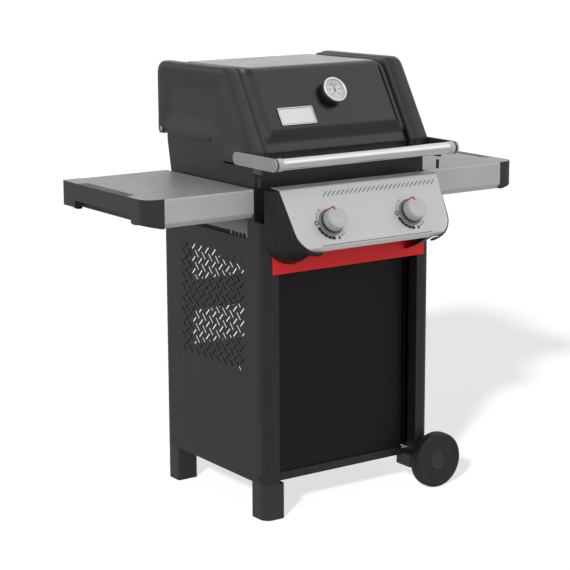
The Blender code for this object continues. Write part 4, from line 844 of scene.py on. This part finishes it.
for side, word in SIDES:
    base = panel_point(side * KNOB_X, KNOB_DOWN, KNOB_BACK)
    body = f"knob_{word}"
    piece(f"knob_cup_{word}", aim(turned([(0, 0.0226)] + cup, 96), base, FACE_OUT), SOFT_SILVER, body,
          [f"knob_{word}"], 30)
    piece(f"knob_wall_{word}", aim(turned(wall, 96), base, FACE_OUT), SOFT_SILVER, body, (), 30)
    # The skirt ring is dark nylon: a real ring whose colour paints the shadow gap round the knob's base.
    piece(f"knob_shadow_skirt_{word}", aim(turned(shadow_skirt, 96), base, FACE_OUT), NYLON, body, (), 30)
    radial = X_AXIS * math.cos(POINTER_AT) + FACE_UP_WAY * math.sin(POINTER_AT)
    across = FACE_OUT.cross(radial)
    strip = []
    for height, inner, outer, half in POINTER:
        strip.append([base + radial * r + across * w + FACE_OUT * height
                      for r, w in ((inner, -half), (outer, -half), (outer, half), (inner, half))])
    piece(f"knob_pointer_{word}", loft(strip), RED_INK, body, (), 60)

# %% [markdown]
# ## Side tables
# The frame has the folded tops and their plastic ends. This adds the ribbed strip where a hand
# takes hold, and the tool hooks moulded under each end.

# %% Grip strips and hooks
TABLE_TOP = 0.8872
RIBS, RIBS_FROM, RIBS_LONG = 34, -0.1135, 0.2355
HOOKS_Y = (-0.1580, 0.1450)
for side, word in SIDES:
    ribs = [side_block(side, (0.5765, -0.1165, TABLE_TOP - 0.0035), (0.6020, 0.1245, TABLE_TOP - 0.0008))]
    for k in range(RIBS):
        y = RIBS_FROM + k * RIBS_LONG / (RIBS - 1)
        ribs.append(side_block(side, (0.5775, y - 0.0018, TABLE_TOP - 0.0012),
                               (0.6010, y + 0.0018, TABLE_TOP - 0.0001)))
    piece(f"grip_strip_{word}", merge(ribs), GRIP, "cart", (), 32, 0.0004)
    hooks = []
    for y in HOOKS_Y:
        for low, high in (((0.5850, y - 0.0035, 0.8180), (0.5990, y + 0.0035, 0.8420)),
                          ((0.5850, y - 0.0035, 0.8180), (0.5990, y + 0.0185, 0.8230)),
                          ((0.5850, y + 0.0145, 0.8180), (0.5990, y + 0.0185, 0.8290))):
            hooks.append(side_block(side, low, high))
    piece(f"tool_hooks_{word}", merge(hooks), NYLON, "cart", (), 32, 0.0008)

# %% [markdown]
# ## Punched side panels
# Both side panels are punched with slots that lean left and right in turn, so that the
# cabinet breathes. The holes are real: the flat outline with all its slots is cut into triangles
# in one go, and then given the sheet's thickness. A Boolean for each of 162 slots would be slow.

# %% Slot pattern
SLOT_PITCH, SLOT_HALF, SLOT_RADIUS = 0.034, 0.0112, 0.0019
PANEL_LOW, PANEL_TOP = 0.0978, 0.7997
WINDOW_LOW, WINDOW_FRONT, WINDOW_BACK = 0.752, -0.1765, 0.150


def slot(y, z, lean_way):
    """A slot with round ends; lean_way is +1 or -1 for the side it leans to."""
    along = Vector((-lean_way, 1)).normalized()
    turn = math.degrees(math.atan2(along.y, along.x))
    tip, tail = Vector((y, z)) + along * SLOT_HALF, Vector((y, z)) - along * SLOT_HALF
    return arc(tip, SLOT_RADIUS, turn - 90, turn + 90, 4) + arc(tail, SLOT_RADIUS, turn + 90, turn + 270, 4)


slots = []
for row in range(9):
    for column in range(9):
        slots.append(slot(0.1245 - column * SLOT_PITCH, 0.690 - row * SLOT_PITCH, 1))
        slots.append(slot(0.1415 - column * SLOT_PITCH, 0.673 - row * SLOT_PITCH, -1))
side_outline = [Vector(p) for p in (
    (-0.2159, PANEL_LOW), (0.1709, PANEL_LOW), (0.1709, PANEL_TOP), (WINDOW_BACK, PANEL_TOP),
    (WINDOW_BACK, WINDOW_LOW), (WINDOW_FRONT, WINDOW_LOW), (WINDOW_FRONT, PANEL_TOP), (-0.2159, PANEL_TOP))]
verts, faces = sheet_with_holes(side_outline, slots)
print("slots in each side panel:", len(slots), "triangles:", len(faces))

# %% Punch both panels
PANEL_X, SHEET = 0.2752, 0.0012
for side, word in SIDES:
    sheet = bmesh.new()
    made = [sheet.verts.new((side * PANEL_X, p.x, p.y)) for p in verts]
    for face in faces:
        order = [made[i] for i in face]
        sheet.faces.new(order if side > 0 else order[::-1])
    panel = piece(f"punched_panel_{word}", sheet, POWDER, "cart", [f"side_panel_{word}"], 32)
    thicken(panel, SHEET, 0)
    top_fold = side_block(side, (PANEL_X - 0.020, WINDOW_FRONT, WINDOW_LOW - SHEET),
                          (PANEL_X - 0.0006, WINDOW_BACK, WINDOW_LOW))
    low_fold = side_block(side, (PANEL_X - 0.020, -0.180, PANEL_LOW), (PANEL_X - 0.0006, 0.160, PANEL_LOW + SHEET))
    piece(f"panel_folds_{word}", merge([top_fold, low_fold]), POWDER, "cart", (), 32, 0.0003)
    # Painted shadow: thin near-black plates on the heat shield's flange stand for its slots and the shade in them.
    wing = side * 0.2722
    dark = [(-0.088, 0.149)] + [(y - 0.0052, y + 0.0052) for y in (-0.1035, -0.1210, -0.1385, -0.1560)]
    shadow_bars = []
    for y0, y1 in dark:
        a, b = sorted((wing, wing + side * 0.0010))
        shadow_bars.append(block((a, y0, 0.7523), (b, y1, 0.7618)))
    piece(f"shield_slot_shadows_{word}", merge(shadow_bars), SHADOW_BLACK, "cart", (), 32, 0.0002)

# %% [markdown]
# ## Wheels
# The wheels are moulded in one piece: a ribbed tread, a flat dish with five round ejector marks
# and a cap over the axle. The tread is turned with 144 segments, and every other one is pulled in.

# %% Wheels
WHEEL_R, AXLE_X = 0.078, 0.286
wheel_profile = [(0.0053, 0), (0.020, 0), (0.020, 0.006), (0.0620, 0.006), (0.0620, 0), (0.0735, 0), (0.0765, 0.0015),
                 (0.0780, 0.0045), (0.0780, 0.0240), (0.0768, 0.0268), (0.0742, 0.0290), (0.0710, 0.0299),
                 (0.0660, 0.0299), (0.0635, 0.0292), (0.0620, 0.0282), (0.0560, 0.0280), (0.0370, 0.0280),
                 (0.0350, 0.0284), (0.0335, 0.0292), (0.0300, 0.0296), (0.0268, 0.0292),
                 (0.0266, 0.010), (0.0053, 0.010)]
cap_profile = [(0, 0.0276), (0.0180, 0.0278), (0.0215, 0.0284), (0.0235, 0.0294), (0.0250, 0.0297), (0.0258, 0.0290),
               (0.0260, 0.0270), (0.0260, 0.0103), (0, 0.0103)]
for sign, place in ((-1, "front"), (1, "back")):
    inner = Vector((AXLE_X, sign * (CART_BACK + 0.006), WHEEL_R))
    tread = turned(wheel_profile, 144)
    for vert in tread.verts:
        radius = math.hypot(vert.co.x, vert.co.y)
        step = round(math.degrees(math.atan2(vert.co.y, vert.co.x)) / 2.5)
        if radius > 0.0770 and 0.004 < vert.co.z < 0.0245 and step % 2:
            vert.co.x *= 1 - 0.0017 / radius
            vert.co.y *= 1 - 0.0017 / radius
    aim(tread, inner, (0, sign, 0))
    marks = []
    for k in range(5):
        a = math.radians(90 + 72 * k)
        at = inner + Vector((0.0475 * math.cos(a), sign * 0.0278, 0.0475 * math.sin(a)))
        marks.append(aim(turned([(0.0030, 0), (0.0042, 0), (0.0040, 0.0008), (0.0032, 0.0008)], 20), at, (0, sign, 0)))
    piece(f"wheel_moulding_{place}", merge([tread] + marks), RUBBER, f"wheel_{place}",
          [f"wheel_{place}"], 28)
    piece(f"wheel_cap_{place}", aim(turned(cap_profile, 64), inner, (0, sign, 0)), NYLON, f"wheel_{place}",
          [f"hub_cap_{place}"], 30)

# %% [markdown]
# ## Front panel edges and panel lip
# The front sheet is folded back at both sides into a channel that closes the gap to the posts. The
# control panel sits in a black moulded lip, which shows as a thin dark line round its ends.

# %% Side channels
CHANNEL_LOW, CHANNEL_TOP = 0.1150, 0.6980
for side, word in SIDES:
    web = side_block(side, (0.2080, CART_FRONT + 0.0600, CHANNEL_LOW), (0.2738, CART_FRONT + 0.0615, CHANNEL_TOP))
    rib = side_block(side, (0.2205, CART_FRONT + 0.0440, CHANNEL_LOW), (0.2235, CART_FRONT + 0.0600, CHANNEL_TOP))
    piece(f"front_channel_{word}", merge([web, rib]), PANEL_BLACK, "cart", (), 32, 0.0004)

# %% Lip round the control panel
HALF_TOP, HALF_LOW, FACE_DOWN, FACE_ROUND = 0.2567, 0.2440, 0.1606, 0.062
EDGE_TOP, EDGE_LOW = -0.054, FACE_DOWN + 0.012
for side, word in SIDES:
    slope = (HALF_TOP - HALF_LOW) / (EDGE_LOW - EDGE_TOP)
    corner = [Vector((side * (HALF_TOP + slope * EDGE_TOP + 0.0004), 0.002)),
              Vector((side * (HALF_LOW + 0.0004), -EDGE_LOW - 0.0004)),
              Vector((side * (HALF_LOW - FACE_ROUND - 0.002), -EDGE_LOW - 0.0004))]
    run = fillet(corner, [0, FACE_ROUND, 0], 14, closed=False)
    sections = []
    for grow, out in ((0.0002, -0.0180), (0.0002, -0.0012), (0.0012, -0.0004), (0.0030, -0.0006), (0.0040, -0.0024),
                      (0.0044, -0.0180)):
        ring = offset_path(run, -grow if side > 0 else grow)
        sections.append([panel_point(p.x, -p.y, out) for p in ring])
    columns = [list(column) for column in zip(*sections)]
    piece(f"panel_lip_{word}", loft(columns), SHROUD_BLACK, "cart", (), 40)
# Painted shade: a grey strip along the panel's lower fold stands for the shade in the crease.
fold = [[(-0.180, -0.0008), (0.180, -0.0008), (0.180, 0.0008), (-0.180, 0.0008)]]
piece("panel_fold_shade_line", on_panel(fold, panel_point(0, FACE_DOWN - 0.0035), 0.0001, 0.0003), PALE_INK, "cart")

# %% [markdown]
# ## Screws
# Pan-head screws hold the sheet parts together. Each is a turned head with a cross recess, which
# is drawn as two thin bars sunk in its top, in a near-black that paints the recess's shadow.


# %% Screw heads
def screw(name, at, way, body="cart", radius=0.0042, material=None):
    head = [(0, 0), (radius, 0), (radius, 0.0008), (radius * 0.9, 0.0018), (radius * 0.6, 0.0024), (0, 0.0026)]
    piece(name, aim(turned(head, 24), at, way), material or ZINC, body)
    # Painted shadow: the recess is not cut; two near-black bars stand for its shade.
    cross = merge([block((-radius * 0.55, -radius * 0.12, 0.0016), (radius * 0.55, radius * 0.12, 0.00270)),
                   block((-radius * 0.12, -radius * 0.55, 0.0016), (radius * 0.12, radius * 0.55, 0.00269))])
    piece(name + "_recess", aim(cross, at, way), SHADOW_BLACK, body)


for side, word in SIDES:
    screw(f"screw_post_front_{word}", (side * 0.2370, CART_FRONT - 0.0002, 0.112), (0, -1, 0), material=POWDER)
    screw(f"screw_post_side_{word}", (side * (CART_HALF + 0.0001), -0.2215, 0.112), (side, 0, 0), material=POWDER)
    for z in (0.530, 0.500, 0.344, 0.314):
        screw(f"screw_back_{word}_{round(z * 1000)}", (side * 0.2180, CART_BACK - 0.0038, z), (0, 1, 0),
              material=POWDER)
    screw(f"screw_rail_{word}", (side * 0.2020, CART_FRONT + 0.0376, 0.1025), (0, -1, 0), material=POWDER)

# %% [markdown]
# ## Finishes for the frame's own pieces
# Most pieces of the frame already have the right shape, so they keep their mesh and only get the
# finish of the material that the real one is made of.

# %% Give each frame piece its finish
FINISHES = {
    "axle": ZINC, "axle_bracket": NYLON, "back_member": POWDER, "bottom_rail": POWDER, "burner_tube": BRUSHED,
    "control_panel": PANEL_SILVER, "cookbox": CASTING, "cooking_grate": IRON, "drip_pan": ALUMINISED, "foot": NYLON,
    "front_panel": PANEL_BLACK, "grease_tray": ALUMINISED, "heat_bar": IRON, "heat_shield": ALUMINISED,
    "hinge_pin": ZINC, "knob_bezel": BEZEL_GREY, "manifold": ZINC, "post": POWDER, "red_crossbar": RED,
    "shroud": SHROUD_BLACK, "table_cap": NYLON, "table_top": TABLE_SILVER, "thermometer_needle": RED_INK,
    "valve": BRASS,
    "valve_stem": BRASS, "warming_rack": BRUSHED,
}
for name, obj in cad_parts.items():
    fits = [key for key in FINISHES if name == key or name.startswith(key + "_")]
    if not fits:
        continue
    finish = FINISHES[max(fits, key=len)]
    obj.data.materials.clear()
    obj.data.materials.append(finish)
    obj.data.shade_smooth()
    obj.data.set_sharp_from_angle(angle=math.radians(32))
print("frame pieces shown:", sum(not obj.hide_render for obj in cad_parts.values()))

# %% [markdown]
# ## Floor, light and camera
# The barbecue stands on a plain pale floor in soft studio light. A sun that lights only the
# floor gives the shadow. The surround gives the black paint something to reflect: in front it is
# dark near the ground and bright higher up, and behind it is even.


# %% Floor
FLOOR_ALBEDO, FLOOR_GLOW, FLOOR_REFLECTED = 0.08, 0.71, 0.50


def make_floor():
    mesh = bpy.data.meshes.new("studio_floor")
    bm = bmesh.new()
    corners = [bm.verts.new((x, y, 0)) for x, y in ((-30, -30), (30, -30), (30, 30), (-30, 30))]
    bm.faces.new(corners)
    bm.to_mesh(mesh)
    bm.free()
    floor = bpy.data.objects.new("studio_floor", mesh)
    bpy.context.scene.collection.objects.link(floor)
    material = bpy.data.materials.new("white_studio_floor")
    material.use_nodes = True
    tree = material.node_tree
    tree.nodes.remove(tree.nodes["Principled BSDF"])
    matt = add(tree, "BsdfDiffuse", {"Color": (FLOOR_ALBEDO, FLOOR_ALBEDO, FLOOR_ALBEDO, 1)})
    lit = add(tree, "Emission", {"Strength": FLOOR_GLOW})
    pale = add(tree, "AddShader", {0: matt.outputs[0], 1: lit.outputs[0]})
    bounce = add(tree, "Emission", {"Strength": FLOOR_REFLECTED})
    seen = add(tree, "LightPath").outputs["Is Camera Ray"]
    mix = add(tree, "MixShader", {0: seen, 1: bounce.outputs[0], 2: pale.outputs[0]})
    tree.links.new(mix.outputs[0], tree.nodes["Material Output"].inputs["Surface"])
    mesh.materials.append(material)
    return floor


floor = make_floor()

# %% Light
SUN_WAY = Vector((1.37, 1.05, -1.0)).normalized()
SUN_POWER, SUN_SPREAD, FRONT_POWER = 19.5, math.radians(5), 1.28
sun = bpy.data.lights.new("floor_sun", "SUN")
sun.energy, sun.angle = SUN_POWER, SUN_SPREAD
sun_obj = bpy.data.objects.new("floor_sun", sun)
sun_obj.rotation_mode = "QUATERNION"
sun_obj.rotation_quaternion = SUN_WAY.to_track_quat("-Z", "Y")
bpy.context.scene.collection.objects.link(sun_obj)
only_floor = bpy.data.collections.new("lit_by_floor_sun")
only_floor.objects.link(floor)
sun_obj.light_linking.receiver_collection = only_floor

world = bpy.data.worlds.new("studio_surround")
bpy.context.scene.world = world
world.use_nodes = True
sky = world.node_tree
background = sky.nodes["Background"]
way = add(sky, "SeparateXYZ", {0: add(sky, "TexCoord").outputs["Generated"]})
height = add(sky, "ValToRGB", {"Fac": way.outputs["Z"]})
FRONT_SKY = [(0.0, 0.40), (0.22, 0.50), (0.42, 0.90), (0.60, 1.0), (0.80, 0.85), (1.0, 0.45)]
ramp_stops = height.color_ramp.elements
while len(ramp_stops) < len(FRONT_SKY):
    ramp_stops.new(0.5)
for stop, (place, level) in zip(ramp_stops, FRONT_SKY):
    stop.position, stop.color = place, (level, level, level, 1)
front_sky = add(sky, "Math", {0: height.outputs["Color"], 1: FRONT_POWER}, operation="MULTIPLY")
back_sky = add(sky, "MapRange", {"Value": way.outputs["Z"], "To Min": 1.10, "To Max": 0.70})
behind = add(sky, "MapRange", {"Value": way.outputs["Y"], "From Min": -0.4, "From Max": 0.5})
glow = add(sky, "Mix", {"Factor": behind.outputs["Result"], "A": front_sky.outputs[0],
                        "B": back_sky.outputs["Result"]}, data_type="FLOAT")
seen = add(sky, "LightPath").outputs["Is Camera Ray"]
strength = add(sky, "Mix", {"Factor": seen, "A": glow.outputs["Result"], "B": 1.0}, data_type="FLOAT")
background.inputs["Color"].default_value = linear("#ffffff")
sky.links.new(strength.outputs["Result"], background.inputs["Strength"])

# %% Camera
camera = bpy.data.cameras.new("camera")
camera.lens, camera.sensor_width = 115.37, 36.0
camera.clip_start, camera.clip_end = 0.1, 100
camera_obj = bpy.data.objects.new("camera", camera)
CAMERA_AT = Vector((-2.8532, -4.0594, 1.6128)) + SHIFT
CAMERA_RIGHT = Vector((0.82101, -0.57090, -0.00384))
CAMERA_UP = Vector((0.12106, 0.16752, 0.97841))
CAMERA_WAY = Vector((0.55793, 0.80375, -0.20665))
facing = Matrix((CAMERA_RIGHT, CAMERA_UP, -CAMERA_WAY)).transposed().to_4x4()
camera_obj.matrix_world = Matrix.Translation(CAMERA_AT) @ facing
bpy.context.scene.collection.objects.link(camera_obj)
bpy.context.scene.camera = camera_obj
bpy.context.scene.view_settings.view_transform = "Standard"
